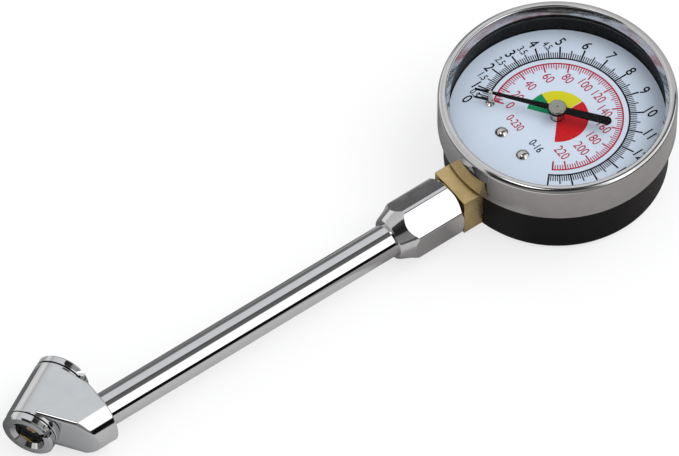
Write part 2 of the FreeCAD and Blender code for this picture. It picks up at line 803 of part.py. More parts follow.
def chuck_body():
    """Head cylinder with a flat-sided web that runs to the round barrel on the tube."""
    radius, half, end = D["head_radius"], D["head_half_length"], D["barrel_end"]
    height, side = D["tube_height"], D["barrel_radius"]
    low, tall = height - radius + D["web_relief"], (radius - D["web_relief"]) * 2
    front, rear = head_point(D["web_setback"] - half), head_point(half - D["web_setback"])
    corner = (-end - D["web_front_run"], -side)
    web_sketch = DOC.addObject("Sketcher::SketchObject", "web_sketch")
    outline(web_sketch, [front, corner, (-end, -side), (-end, D["web_rear_width"]), rear])
    put(web_sketch, 0, 0, low)
    web = DOC.addObject("Part::Extrusion", "web")
    web.Base, web.Solid, web.DirMode = web_sketch, True, "Normal"
    web.LengthFwd = float(tall)
    bind(web, "LengthFwd", tall)
    barrel = cylinder("barrel", side, radius * 3, -end, 0, height, ALONG_TUBE)
    shelf = box("web_side", (-D["head_x"] - radius * 2, 0, 0), (-end, radius * 3, height * 2))
    shoulder = common("shoulder", web, join("web_limits", [barrel, shelf]))
    shoulder.Refine = True
    DOC.recompute()
    nose = rounded("web_nose", shoulder, nose_edges(front, corner))
    ends = rounded("web_ends", nose, end_edges(rear))
    start = head_point(-half)
    head = turned("head", [(0, 0), (radius, 0), (radius, half * 2), (0, half * 2)])
    for end_face in (0, half * 2):
        dress(head, "Fillet", ring_edge(radius, end_face), D["head_edge"])
    put(head, start[0], start[1], height, FACING_REAR)
    return keep(cut("chuck_body", join("chuck_blank", [ends, head]), chuck_bores()))


def rounded(label, base, radii):
    """Round the edges for which a function of the edge's ends gives two radii."""
    item = DOC.addObject("Part::Fillet", label)
    item.Base = base
    chosen = []
    for number, edge in enumerate(base.Shape.Edges, start=1):
        ends = [v.Point for v in edge.Vertexes]
        found = radii(edge, ends[0], ends[-1])
        if found:
            chosen.append((number, *found))
    if not chosen:
        raise ValueError(f"no edge to round on {label}")
    item.Edges = chosen
    DOC.recompute()
    return item


def nose_edges(front, corner):
    """The front wall's rim: a small round above, growing round the nose to a large one below."""
    middle, small, large = float(D["tube_height"]), D["web_top_edge"].value, D["web_low_edge"].value
    wide = float(D["nose_edge"])
    foot, tip = [Vector(float(as_size(p[0])), float(as_size(p[1])), 0) for p in (front, corner)]
    along = (tip - foot).normalize()

    def radii(edge, first, last):
        for point in (first, last):
            offset = Vector(point.x, point.y, 0) - foot
            if (offset - along * offset.dot(along)).Length > 1e-3:
                return None
        if abs(first.z - last.z) < 1e-6:
            return (small, small) if first.z > middle else (large, large)
        if isinstance(edge.Curve, Part.Ellipse):
            def size(point):
                if abs(point.z - middle) < 1e-3:
                    return wide
                return small if point.z > middle else large
            return size(first), size(last)
        return None

    return radii


def end_edges(rear):
    """The rims of the tube's end and of the rear side, above and below."""
    size, end = float(D["barrel_edge"]), -float(D["barrel_end"])
    far = float(as_size(rear[1]))

    def radii(edge, first, last):
        at_end = [abs(p.x - end) < 1e-3 for p in (first, last)]
        level = abs(first.z - last.z) < 1e-6
        if all(at_end) and (level or isinstance(edge.Curve, Part.Circle)):
            return size, size
        at_rear = [abs(p.y - far) < 1e-3 for p in (first, last)]
        if level and any(at_end) and any(at_rear):
            return size, size
        return None

    return radii


def chuck_bores():
    height = D["tube_height"]
    seat_depth = D["head_half_length"] - D["seal_seat"] + OVERRUN
    chamber_length = D["seal_seat"] - D["web_half"] + OVERRUN
    tools = []
    for sign, turn in ((1, FACING_REAR), (-1, FACING_FRONT)):
        x, y = head_point(sign * D["seal_seat"])
        tools.append(cylinder("seal_seat", D["seal_radius"] + 0.05, seat_depth, x, y, height, turn))
        x, y = head_point(sign * D["web_half"])
        tools.append(cylinder("chamber", D["chamber_radius"], chamber_length, x, y, height, turn))
    x, y = head_point(-D["web_half"] - OVERRUN)
    tools.append(cylinder("web_hole", D["web_hole"], (D["web_half"] + OVERRUN) * 2, x, y, height,
                          FACING_REAR))
    tools.append(cylinder("tube_socket", D["tube_radius"] + D["fit_clearance"], D["socket_depth"] + OVERRUN,
                          -D["barrel_end"] + OVERRUN, 0, height, ALONG_TUBE))
    tools.append(cylinder("socket_end", D["gas_bore"], 1.4, -D["tube_end"], 0, height, ALONG_TUBE))
    x, y = head_point(-D["passage_station"])
    across = Rotation(Vector(0, 0, 1), HEAD_SIDE * -1)
    tools.append(cylinder("passage", D["passage_radius"], D["head_y"], x, y, height, across))
    return join("chuck_bores", tools)


def cap_ring(label, sign, turn):
    """A screwed end cap with its mouth, spigot and stepped slot."""
    gap, face, edge = D["cap_ring_gap"], D["cap_ring_face"], D["cap_ring_edge"]
    back = D["head_half_length"] + gap
    spigot = D["seal_seat"] + D["seal_thickness"] + D["running_gap"]
    mouth, flare = D["mouth_radius"], D["mouth_flare"]
    relief, inner = mouth + D["mouth_relief"], face - flare - D["mouth_length"]
    ring = turned(f"{label}_blank", [
        (mouth, inner), (relief, inner), (relief, spigot), (D["seal_radius"], spigot),
        (D["seal_radius"], back), (D["cap_ring_radius"], back),
        (D["cap_ring_radius"], face - edge), (D["cap_ring_radius"] - edge, face), (mouth + flare, face),
        (mouth, face - flare)])
    piece = cut(label, ring, slot_tool(label, sign))
    x, y = head_point(0)
    return keep(put(piece, x, y, D["tube_height"], turn))


def slot_tool(label, sign):
    """A blind window behind the face, with a notch that opens it to the face and to the mouth."""
    near, far, reach = D["slot_near"], D["slot_far"], D["cap_ring_radius"] + OVERRUN
    past, parts = D["cap_ring_face"] + OVERRUN, []
    for first, low, high, depth in ((D["slot_start_angle"], near, far, D["slot_floor"]),
                                    (D["slot_notch_angle"], near, past, D["mouth_radius"] - 0.5)):
        wedge = DOC.addObject("Part::Cylinder", f"{label}_wedge")
        wedge.Radius, wedge.Height = float(reach), float(high - low)
        wedge.Angle = float(D["slot_end_angle"] - first)
        bind(wedge, "Radius", reach)
        bind(wedge, "Height", high - low)
        bind(wedge, "Angle", D["slot_end_angle"] - first)
        begin = first.value if sign > 0 else (180 - D["slot_end_angle"] - D["front_slot_turn"]).value
        put(wedge, 0, 0, low, about_z(begin))
        parts.append(cut(f"{label}_wedge_ring", wedge, cylinder(f"{label}_core", depth, past)))
    return join(f"{label}_slot", parts)


def seal(label, turn):
    low = D["seal_seat"]
    high = low + D["seal_thickness"]
    ring = turned(label, [
        (D["seal_hole"], low), (D["seal_radius"], low), (D["seal_radius"], high),
        (D["seal_hole"] + 0.5, high), (D["seal_hole"], high - 0.5)])
    x, y = head_point(0)
    return keep(put(ring, x, y, D["tube_height"], turn))


def depressor(label, turn):
    """A brass poppet that rests on the seal and opens the tyre valve's core with its tip."""
    front = D["seal_seat"] - D["running_gap"]
    back = front - D["depressor_flange_thickness"]
    tip, stem = D["depressor_tip_radius"], D["depressor_stem_radius"]
    poppet = turned(label, [
        (0, D["depressor_stem"]), (stem, D["depressor_stem"]), (stem, back), (D["depressor_flange"], back),
        (D["depressor_flange"], front - 0.4), (D["depressor_flange"] - 0.4, front), (tip, front),
        (tip, D["depressor_tip"]), (0, D["depressor_tip"])])
    dress(poppet, "Fillet", ring_edge(tip, D["depressor_tip"]), tip * 0.6)
    x, y = head_point(0)
    return keep(put(poppet, x, y, D["tube_height"], turn))


def coil_spring(label, turn):
    """A round wire wound in quarter turns between the body's web and the depressor's flange."""
    radius, wire = D["spring_radius"].value, D["spring_wire"].value
    gap, turns = D["running_gap"].value, D["spring_turns"].value
    low = D["web_half"].value + gap + wire
    back = (D["seal_seat"] - D["running_gap"] - D["depressor_flange_thickness"]).value
    high = back - gap - wire
    steps = int(round(turns * 4))

    def on_coil(step):
        angle = math.pi / 2 * step
        return Vector(radius * math.cos(angle), radius * math.sin(angle), low + (high - low) * step / steps)

    arcs = [Part.Arc(on_coil(i), on_coil(i + 0.5), on_coil(i + 1)).toShape() for i in range(steps)]
    path = Part.Wire(arcs)
    section = Part.Wire(Part.Circle(on_coil(0), Vector(0, 1, 0), wire).toShape())
    coil = path.makePipeShell([section], True, False)
    print(label, "gap between turns", round((high - low) / turns - 2 * wire, 3))
    x, y = head_point(0)
    place = Placement(Vector(x.value, y.value, D["tube_height"].value), turn)
    return keep(shaped(label, coil, place))


# Bourdon tube, its tip and the link


def bourdon_tube():
    radius, half = D["bourdon_radius"], D["bourdon_thickness"] / 2
    low, high = D["tube_height"] - D["bourdon_height"] / 2, D["tube_height"] + D["bourdon_height"] / 2
    wall = D["bourdon_wall"]
    tube = new_body("bourdon_tube")
    for kind, inset in (("Revolution", as_size(0)), ("Groove", wall)):
        side, end = half - inset, inset
        sketch = sketch_on(tube, "XZ_Plane")
        bevel = half * 0.5
        outline(sketch, [
            (radius - side, low + end + bevel), (radius - side + bevel, low + end),
            (radius + side - bevel, low + end), (radius + side, low + end + bevel),
            (radius + side, high - end - bevel), (radius + side - bevel, high - end),
            (radius - side + bevel, high - end), (radius - side, high - end - bevel)])
        feature = tube.newObject(f"PartDesign::{kind}", f"bourdon_{kind}")
        feature.Profile = sketch
        feature.ReferenceAxis = (sketch, ["V_Axis"])
        feature.Angle = D["bourdon_sweep_angle"].value
        bind(feature, "Angle", D["bourdon_sweep_angle"])
        DOC.recompute()
    tube.Placement = Placement(Vector(), about_z(D["bourdon_start_angle"] - D["bourdon_sweep_angle"]))
    return keep(tube)


def bourdon_tip():
    """The plug in the tube's free end, with the lug that the link is pinned to."""
    angle = math.degrees(math.atan2(D["tip_pin_y"].value, D["tip_pin_x"].value))
    reach = math.hypot(D["tip_pin_x"].value, D["tip_pin_y"].value)
    turn = about_z(angle)
    radius, half = D["bourdon_radius"], D["bourdon_thickness"] / 2 + 0.2
    half_height = D["bourdon_height"] / 2 + 0.2
    end_angle = D["bourdon_start_angle"].value - D["bourdon_sweep_angle"].value - angle
    near = radius.value * math.sin(math.radians(end_angle)) - 0.15
    plug = box("tip_plug", (radius - half, near - D["tip_block_depth"], D["tube_height"] - half_height),
               (radius + half, near, D["tube_height"] + half_height), turn)
    arm = box("tip_arm", (reach - 0.5, near - 1.2, D["sector_low"]),
              (radius - half + 0.5, near, SECTOR_HIGH), turn)
    eye = cylinder("tip_eye", D["link_width"] * 0.4, D["sector_thickness"], D["tip_pin_x"], D["tip_pin_y"],
                   D["sector_low"])
    hole = cylinder("tip_hole", D["small_pin"] + D["fit_clearance"] / 2, D["sector_thickness"] + OVERRUN * 2,
                    D["tip_pin_x"], D["tip_pin_y"], D["sector_low"] - OVERRUN)
    return keep(cut("bourdon_tip", join("tip_blank", [plug, arm, eye]), hole))


LINK_LOW = SECTOR_HIGH + 0.3
LINK_HIGH = LINK_LOW + D["link_thickness"]


def small_pin(label, x, y):
    """A headed rivet pin through a lug and the link above it."""
    pin, head = D["small_pin"], D["small_pin_head"]
    low = D["sector_low"] - 0.35
    piece = turned(label, [
        (0, low), (head, low), (head, D["sector_low"] - D["running_gap"]),
        (pin, D["sector_low"] - D["running_gap"]),
        (pin, LINK_HIGH + 0.15), (head, LINK_HIGH + 0.15), (head, LINK_HIGH + 0.45), (0, LINK_HIGH + 0.45)])
    return keep(put(piece, x, y, 0))


def connecting_link():
    dx, dy = D["tip_pin_x"] - TAIL_X, D["tip_pin_y"] - TAIL_Y
    length = math.hypot(dx.value, dy.value)
    angle = math.degrees(math.atan2(dy.value, dx.value))
    half = D["link_width"] / 2
    turn = about_z(angle)
    side = half * 0.7
    bar = box("link_bar", (0, -side, LINK_LOW), (length, side, LINK_HIGH), turn, (TAIL_X, TAIL_Y, 0))
    eyes = [cylinder("link_eye", radius, D["link_thickness"], x, y, LINK_LOW)
            for radius, x, y in ((half, TAIL_X, TAIL_Y), (side, D["tip_pin_x"], D["tip_pin_y"]))]
    free = cylinder("link_free_hole", D["link_free_hole"], D["link_thickness"], TAIL_X, TAIL_Y, LINK_LOW)
    held = cylinder("link_held_hole", D["small_pin"] + D["running_gap"], D["link_thickness"],
                    D["tip_pin_x"], D["tip_pin_y"], LINK_LOW)
    return keep(cut("connecting_link", join("link_blank", [bar] + eyes), join("link_holes", [free, held])))


# Movement


def tooth_points(pitch_radius, teeth, middle, root, tip):
    """The corners of one tooth whose middle is at the given angle."""
    halves = ((pitch_radius - root, 0.27), (pitch_radius, 0.19), (pitch_radius + tip, 0.085))
    left = [(r, middle - math.degrees(w / r)) for r, w in halves]
    right = [(r, middle + math.degrees(w / r)) for r, w in reversed(halves)]
    return left + right


def gear_points(pitch_radius, teeth, count, middle):
    """The polar corners of a run of teeth, centred on the middle angle."""
    step = 360.0 / teeth
    module = D["gear_module"].value
    points = []
    for i in range(count):
        centre = middle + (i - (count - 1) / 2) * step
        points += tooth_points(pitch_radius, teeth, centre, 1.2 * module, 0.9 * module)
    return points


def polar_face(points, centre=(0.0, 0.0)):
    ring = [Vector(centre[0] + r * math.cos(math.radians(a)), centre[1] + r * math.sin(math.radians(a)), 0)
            for r, a in points]
    return Part.Face(Part.makePolygon(ring + ring[:1]))


def sector_gear():
    """The toothed segment, its hub and its tail, all one plate."""
    teeth, count = int(D["sector_full_teeth"].value), int(D["sector_teeth"].value)
    toward_pinion = D["sector_place_angle"].value + 180.0
    step = 360.0 / teeth
    middle = toward_pinion - (count / 2 - 2) * step
    radius = PITCH_SECTOR.value
    rim = gear_points(radius, teeth, count, middle)
    inner = radius - D["sector_rim_depth"].value
    first, last = rim[0][1], rim[-1][1]
    arcs = [(inner, last - (last - first) * i / 6) for i in range(7)]
    thickness = D["sector_thickness"].value
    up = Vector(0, 0, thickness)
    toothed = polar_face(rim + arcs).extrude(up)
    spokes = []
    for angle in (middle, D["tail_angle"].value):
        length = radius - 1.6 if angle == middle else D["tail_length"].value
        arm = Part.makeBox(length, 1.9, thickness, Vector(0, -0.95, 0))
        arm.rotate(Vector(), Vector(0, 0, 1), angle)
        spokes.append(arm)
    rise = D["sector_hub_rise"].value
    hub = Part.makeCylinder(D["sector_hub_radius"].value, thickness + rise * 2, Vector(0, 0, -rise))
    eye = Part.makeCylinder(1.5, thickness)
    tail = Vector(D["tail_length"].value, 0, 0)
    eye.translate(about_z(D["tail_angle"]).multVec(tail))
    solid = toothed.fuse(spokes + [hub, eye]).removeSplitter()
    below = Vector(0, 0, -thickness * 3)
    bore = Part.makeCylinder(D["sector_arbor_radius"].value, thickness * 6, below)
    hole_radius = (D["small_pin"] + D["fit_clearance"] / 2).value
    hole = Part.makeCylinder(hole_radius, thickness * 6, below)
    hole.translate(about_z(D["tail_angle"]).multVec(tail))
    place = Placement(Vector(SECTOR_X.value, SECTOR_Y.value, D["sector_low"].value), Rotation())
    return keep(shaped("sector_gear", solid.cut([bore, hole]), place))


def sector_arbor():
    radius, low, high = D["sector_arbor_radius"] - 0.005, D["plate_low"] + 0.1, PLATE_TOP_HIGH - 0.1
    pivot = radius - 0.35
    arbor = turned("sector_arbor", [
        (0, low), (pivot, low), (pivot, low + D["plate_thickness"]), (radius, low + D["plate_thickness"]),
        (radius, high - D["plate_thickness"]), (pivot, high - D["plate_thickness"]), (pivot, high),
        (0, high)])
    return keep(put(arbor, SECTOR_X, SECTOR_Y, 0))


def pinion_arbor():
    """The centre staff with its pinion and the collet that holds the hairspring."""
    staff, low = D["arbor_radius"].value, D["plate_low"].value + 0.1
    top = (POINTER_TOP + D["cap_height"]).value - 0.3
    teeth = int(D["pinion_teeth"].value)
    middle = D["sector_place_angle"].value
    step = 360.0 / teeth
    rim = gear_points(PITCH_PINION.value, teeth, teeth, middle + step / 2)
    pinion = polar_face(rim).extrude(Vector(0, 0, 2.4))
    pinion.translate(Vector(0, 0, D["sector_low"].value - 0.7))
    shaft = Part.makeCylinder(staff, top - low, Vector(0, 0, low))
    collet_low = Vector(0, 0, D["hairspring_low"].value - 0.1)
    collet = Part.makeCylinder(D["collet_radius"].value, D["hairspring_height"].value + 0.2, collet_low)
    solid = shaft.fuse([pinion, collet]).removeSplitter()
    return keep(shaped("pinion_arbor", solid))


def hairspring():
    """A flat spiral of half-turn arcs round the collet."""
    thick, pitch = D["hairspring_thick"].value, D["hairspring_pitch"].value
    halves = int(D["hairspring_turns"].value) * 2
    up = Vector(0, 0, 1)

    def edge(side):
        runs = []
        for i in range(halves):
            centre = Vector(pitch / 4 if i % 2 else -pitch / 4, 0, 0)
            radius = D["hairspring_inner"].value + pitch * (i + 0.5) / 2 + side * thick / 2
            angles = [math.pi * (i + part) for part in (0, 0.5, 1)]
            points = [centre + Vector(radius * math.cos(a), radius * math.sin(a), 0) for a in angles]
            runs.append(Part.Arc(*points).toShape())
        return runs

    outer, inner = edge(1), edge(-1)
    caps = [Part.makeLine(inner[0].Vertexes[0].Point, outer[0].Vertexes[0].Point),
            Part.makeLine(outer[-1].Vertexes[-1].Point, inner[-1].Vertexes[-1].Point)]
    wire = Part.Wire(Part.__sortEdges__(outer + inner + caps))
    ribbon = Part.Face(wire).extrude(up * D["hairspring_height"].value)
    ribbon.translate(Vector(0, 0, D["hairspring_low"].value))
    return keep(shaped("hairspring", ribbon))


def hairspring_stud():
    reach = D["hairspring_inner"] + D["hairspring_pitch"] * D["hairspring_turns"] + D["hairspring_thick"]
    post = box("hairspring_stud", (reach + 0.25, -0.5, D["hairspring_low"] - 0.2),
               (reach + 1.25, 0.5, PLATE_TOP_LOW))
    post.Label = "hairspring_stud"
    return keep(post)


def movement_plate(label, low, pillar_hole, with_fixings):
    """One of the two flat plates that carry the arbors."""
    plate = new_body(label)
    face = sketch_on(plate, "XY_Plane", low)
    outline(face, PLATE_OUTLINE)
    staff_hole = D["arbor_radius"] + D["running_gap"]
    pivot_hole = D["sector_arbor_radius"] - 0.355 + D["running_gap"]
    circle(face, 0, 0, staff_hole)
    circle(face, SECTOR_X, SECTOR_Y, pivot_hole)
    for x, y in PILLARS:
        circle(face, x, y, pillar_hole)
    if with_fixings:
        for x, y in MOVEMENT_SCREWS:
            circle(face, x, y, D["screw_shank"] + D["bezel_clearance"])
    pad(plate, face, D["plate_thickness"])
    return keep(plate)


def pillars():
    pieces, screws = [], []
    low, high = D["plate_low"] + D["plate_thickness"], PLATE_TOP_LOW
    thread, reach = D["small_thread"], D["small_screw_reach"]
    depth = reach + D["small_screw_room"]
    for x, y in PILLARS:
        column = cylinder("pillar_column", D["pillar_radius"], high - low, x, y, low)
        spigot = cylinder("pillar_spigot", PILLAR_SPIGOT, D["plate_thickness"] + OVERRUN, x, y,
                          D["plate_low"])
        hole = cylinder("pillar_hole", thread + D["fit_clearance"], depth, x, y, high - depth)
        pieces.append(cut("pillar", join("pillar_blank", [column, spigot]), hole))
        head = cylinder("pillar_screw_head", D["pillar_radius"], D["small_screw_head"], x, y,
                        PLATE_TOP_HIGH)
        shank = cylinder("pillar_screw_shank", thread, D["plate_thickness"] + reach, x, y, high - reach)
        drive = box("pillar_screw_drive", (-D["pillar_radius"], -0.25, 0.6), (D["pillar_radius"], 0.25, 2.0),
                    at=(x, y, PLATE_TOP_HIGH))
        screws.append(cut("pillar_screw", join("pillar_screw_blank", [head, shank]), drive))
    keep(group("movement_pillars", pieces))
    keep(group("pillar_screws", screws))


def movement_screws():
    screws = []
    low = D["plate_low"] + D["plate_thickness"]
    head_radius, head_height = D["screw_shank"] * 1.7, D["movement_screw_head"]
    slot, floor = D["movement_slot_half"], D["movement_slot_floor"]
    for x, y in MOVEMENT_SCREWS:
        head = cylinder("movement_screw_head", head_radius, head_height, x, y, low)
        shank = cylinder("movement_screw_shank", D["screw_shank"], D["plate_thickness"] + 2.4, x, y,
                         D["plate_low"] - 2.4)
        drive = box("movement_screw_drive", (head_radius * -1.5, slot * -1, floor),
                    (head_radius * 1.5, slot, head_height + OVERRUN), at=(x, y, low))
        screws.append(cut("movement_screw", join("movement_screw_blank", [head, shank]), drive))
    return keep(group("movement_screws", screws))


def build():
    gauge_case()
    bezel_ring()
    window_pieces()
    case_screws()
    blowout_plug()
    dial_plate()
    dial_fixings()
    stop_pin()
    pointer()
    pointer_hub()
    socket_block()
    stem_washer()
    hex_adapter()
    extension_tube()
    chuck_body()
    for name, sign, turn in (("front", -1, FACING_FRONT), ("rear", 1, FACING_REAR)):
        cap_ring(f"{name}_cap_ring", sign, turn)
        seal(f"{name}_seal", turn)
        depressor(f"{name}_depressor", turn)
        coil_spring(f"{name}_spring", turn)
    bourdon_tube()
    bourdon_tip()
    connecting_link()
    small_pin("tip_pin", D["tip_pin_x"], D["tip_pin_y"])
    small_pin("tail_pin", TAIL_X, TAIL_Y)
    sector_gear()
    sector_arbor()
    pinion_arbor()
    hairspring()
    hairspring_stud()
    movement_plate("movement_base_plate", D["plate_low"], as_size(PILLAR_SPIGOT) + 0.01, True)
    movement_plate("movement_top_plate", PLATE_TOP_LOW, as_size(0.85), False)
    pillars()
    movement_screws()
    DOC.recompute()


def check_and_write():
    for item in DOC.Objects:
        if "Invalid" in item.State or "Error" in item.State:
            raise ValueError(f"{item.Name} failed: {item.State}")
    for name, item in NODES.items():
        shape = item.Shape
        if shape.isNull() or not shape.isValid() or not shape.Solids:
            raise ValueError(f"{name} has no valid solid")
    os.makedirs("parts", exist_ok=True)
    for name, item in NODES.items():
        item.Shape.exportStep(os.path.join("parts", f"{name}.step"))
        print(name, len(item.Shape.Solids), round(item.Shape.Volume, 2))


build()
check_and_write()
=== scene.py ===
"""Dresses the tyre pressure gauge: finishes, dial print, turned parts and a plain studio."""

import json
import logging
import math
from dataclasses import dataclass
from enum import Enum

import bmesh
import bpy
from mathutils import Matrix, Vector

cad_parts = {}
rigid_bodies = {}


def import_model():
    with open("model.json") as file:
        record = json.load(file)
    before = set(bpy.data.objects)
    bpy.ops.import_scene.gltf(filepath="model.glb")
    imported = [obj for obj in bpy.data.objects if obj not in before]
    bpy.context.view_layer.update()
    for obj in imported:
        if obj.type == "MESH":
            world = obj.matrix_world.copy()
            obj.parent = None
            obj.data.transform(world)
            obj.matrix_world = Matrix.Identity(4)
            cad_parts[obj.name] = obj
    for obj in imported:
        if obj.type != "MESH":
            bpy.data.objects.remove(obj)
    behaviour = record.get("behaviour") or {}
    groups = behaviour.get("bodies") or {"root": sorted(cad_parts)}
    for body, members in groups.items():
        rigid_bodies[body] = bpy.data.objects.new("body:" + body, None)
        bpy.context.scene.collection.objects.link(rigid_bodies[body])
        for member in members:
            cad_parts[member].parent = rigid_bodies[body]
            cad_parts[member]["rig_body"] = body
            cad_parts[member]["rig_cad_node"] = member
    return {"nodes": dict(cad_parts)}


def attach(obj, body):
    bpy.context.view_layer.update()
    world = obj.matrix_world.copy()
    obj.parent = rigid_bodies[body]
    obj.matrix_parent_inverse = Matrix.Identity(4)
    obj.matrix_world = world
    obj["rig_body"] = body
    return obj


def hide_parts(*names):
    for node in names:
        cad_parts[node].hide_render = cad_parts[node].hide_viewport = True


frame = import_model()

MM = 0.001
# Points this close are one, in metres: of glyphs, of made pieces and of copied solids
GLYPH_MERGE = 1e-8
MERGE = 1e-7
SOLID_MERGE = 2e-6
# Faces within these degrees are one, and a corner of more than these radians is a square one
FLAT_WITHIN = 0.5
SQUARE_CORNER = 1.2
CORNER_SEGMENTS = 3
HEX_SIDES = 6
HEX_HALF = math.pi / HEX_SIDES
# More than any direction's part, so a limit that is never reached
BEYOND = 2.0
LOG = logging.getLogger("tyre_gauge")
Colour = tuple[float, float, float]
Span = tuple[float, float]
Stops = tuple[tuple[float, ...], ...]
Profile = list[tuple[float, float]]


class Lay(Enum):
    """Which way the fine marks of a metal surface run."""

    TURNED = "round the Z axis"
    ACROSS = "across the tube"
    CAST = "no direction"


class Edge(Enum):
    """How wide the corners of a copied solid are rounded, in millimetres."""

    SHARP = 0.12
    BROKEN = 0.3


# Making meshes


def nothing_selected() -> None:
    """Leaves every object unselected, in object mode."""
    if bpy.context.object and bpy.context.object.mode != "OBJECT":
        bpy.ops.object.mode_set(mode="OBJECT")
    bpy.ops.object.select_all(action="DESELECT")


def take(piece: bpy.types.Object) -> bpy.types.Object:
    """Makes a piece the only selected and active one."""
    nothing_selected()
    piece.select_set(True)
    bpy.context.view_layer.objects.active = piece
    return piece


def edit_all() -> None:
    """Opens the active piece in edit mode with all of it selected."""
    bpy.ops.object.mode_set(mode="EDIT")
    bpy.ops.mesh.select_all(action="SELECT")


def close_edit(merge: float = MERGE) -> None:
    """Merges doubles, turns the faces outwards and leaves edit mode."""
    bpy.ops.mesh.select_all(action="SELECT")
    bpy.ops.mesh.remove_doubles(threshold=merge)
    bpy.ops.mesh.normals_make_consistent(inside=False)
    bpy.ops.object.mode_set(mode="OBJECT")


def settle(piece: bpy.types.Object) -> bpy.types.Object:
    """Puts a piece's place into its mesh, so that its object sits at the origin."""
    take(piece)
    bpy.ops.object.transform_apply(location=True, rotation=True, scale=True)
    return piece


def join_pieces(name: str, pieces: list[bpy.types.Object]) -> bpy.types.Object:
    """Joins pieces of one finish into one named piece.

    Args:
        name: the joined piece's name.
        pieces: the pieces, all settled.

    Returns:
        The joined piece.
    """
    take(pieces[0])
    for piece in pieces:
        piece.select_set(True)
    if len(pieces) > 1:
        bpy.ops.object.join()
    joined = bpy.context.object
    joined.name = joined.data.name = name
    return joined


def arc_points(centre: Span, radius: float, start: float, end: float, steps: int) -> Profile:
    """Gives the points of a profile's round corner, in millimetres and degrees."""
    points = []
    for step in range(steps + 1):
        angle = math.radians(start + (end - start) * step / steps)
        points.append((centre[0] + radius * math.cos(angle), centre[1] + radius * math.sin(angle)))
    return points


def turn_ring(name: str, profile: Profile, segments: int) -> bpy.types.Object:
    """Turns a closed profile round the Z axis.

    A circle is extruded and resized from corner to corner of the profile, and closed on itself.

    Args:
        name: the piece's name.
        profile: radius and height of each corner, in millimetres.
        segments: the number of sides of the circle.

    Returns:
        The ring, smooth except at its corners.
    """
    nothing_selected()
    radius, height = profile[0]
    bpy.ops.mesh.primitive_circle_add(vertices=segments, radius=radius * MM,
                                      location=(0, 0, height * MM))
    ring = settle(bpy.context.object)
    ring.name = ring.data.name = name
    edit_all()
    for wide, high in profile[1:] + profile[:1]:
        rise = (0, 0, (high - height) * MM)
        bpy.ops.mesh.extrude_region_move(TRANSFORM_OT_translate={"value": rise})
        if not math.isclose(wide, radius, abs_tol=1e-6):
            share = wide / radius
            bpy.ops.transform.resize(value=(share, share, 1), center_override=(0, 0, high * MM))
        radius, height = wide, high
    close_edit()
    smooth(ring)
    return ring


def smooth(piece: bpy.types.Object, angle: float = 30.0) -> bpy.types.Object:
    """Shades a piece smooth, except at corners over the angle in degrees."""
    take(piece)
    bpy.ops.object.shade_smooth_by_angle(angle=math.radians(angle))
    return piece


def lay_over(piece: bpy.types.Object, place: Matrix) -> bpy.types.Object:
    """Moves a settled piece from its making place to its place on the object."""
    piece.matrix_world = place
    return settle(piece)


def select_long_edges(piece: bpy.types.Object, length: float) -> None:
    """Selects the square outer edges of the piece in edit mode that are longer than a length."""
    bpy.ops.mesh.select_mode(type="EDGE")
    bpy.ops.mesh.select_all(action="DESELECT")
    mesh = bmesh.from_edit_mesh(piece.data)
    for edge in mesh.edges:
        shared = len(edge.link_faces) == 2 and edge.is_convex
        square = shared and edge.calc_face_angle(0) > SQUARE_CORNER
        edge.select_set(square and edge.calc_length() > length * MM)
    bmesh.update_edit_mesh(piece.data)


def copy_of_solid(node: str, name: str, edge: Edge, angle: float = 28.0, length: float = 9.5,
                  shading: float = 34.0) -> bpy.types.Object:
    """Copies a node's solid as a piece with rounded corners, the long ones more than the others.

    Args:
        node: the CAD node.
        name: the new piece's name.
        edge: how wide the long corners are rounded.
        angle: corners over this many degrees are rounded.
        length: edges longer than this many millimetres are long ones.
        shading: corners under this many degrees are shaded smooth.

    Returns:
        The rounded piece.
    """
    nothing_selected()
    source = frame["nodes"][node]
    piece = source.copy()
    piece.data = source.data.copy()
    piece.name = piece.data.name = name
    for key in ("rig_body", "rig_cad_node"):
        if key in piece:
            del piece[key]
    piece.parent = None
    bpy.context.scene.collection.objects.link(piece)
    take(piece)
    edit_all()
    bpy.ops.mesh.remove_doubles(threshold=SOLID_MERGE)
    bpy.ops.mesh.dissolve_limited(angle_limit=math.radians(FLAT_WITHIN))
    select_long_edges(piece, length)
    bpy.ops.mesh.bevel(offset=edge.value * MM, segments=CORNER_SEGMENTS, affect="EDGES",
                       clamp_overlap=False)
    close_edit(SOLID_MERGE)
    bevel = piece.modifiers.new("corners", "BEVEL")
    bevel.width = Edge.SHARP.value * MM
    bevel.segments = CORNER_SEGMENTS
    bevel.limit_method = "ANGLE"
    bevel.angle_limit = math.radians(angle)
    bevel.harden_normals = True
    bevel.use_clamp_overlap = True
    bpy.ops.object.modifier_apply(modifier="corners")
    return smooth(piece, shading)


def wear(piece: bpy.types.Object, finish: bpy.types.Material) -> bpy.types.Object:
    """Gives a piece one finish all over."""
    piece.data.materials.clear()
    piece.data.materials.append(finish)
    return piece


def fit(piece: bpy.types.Object, finish: bpy.types.Material, body: str, slot: str,
        *stands_for: str) -> bpy.types.Object:
    """Dresses a new piece, and fixes it to the body that carries it.

    Args:
        piece: the new piece.
        finish: its material.
        body: the body it moves with.
        slot: the record's material slot; not used.
        *stands_for: CAD nodes that the piece is shown in place of.

    Returns:
        The piece.
    """
    wear(piece, finish)
    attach(piece, body)
    if stands_for:
        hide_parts(*stands_for)
    LOG.info("%s on %s, %d faces", piece.name, body, len(piece.data.polygons))
    return piece


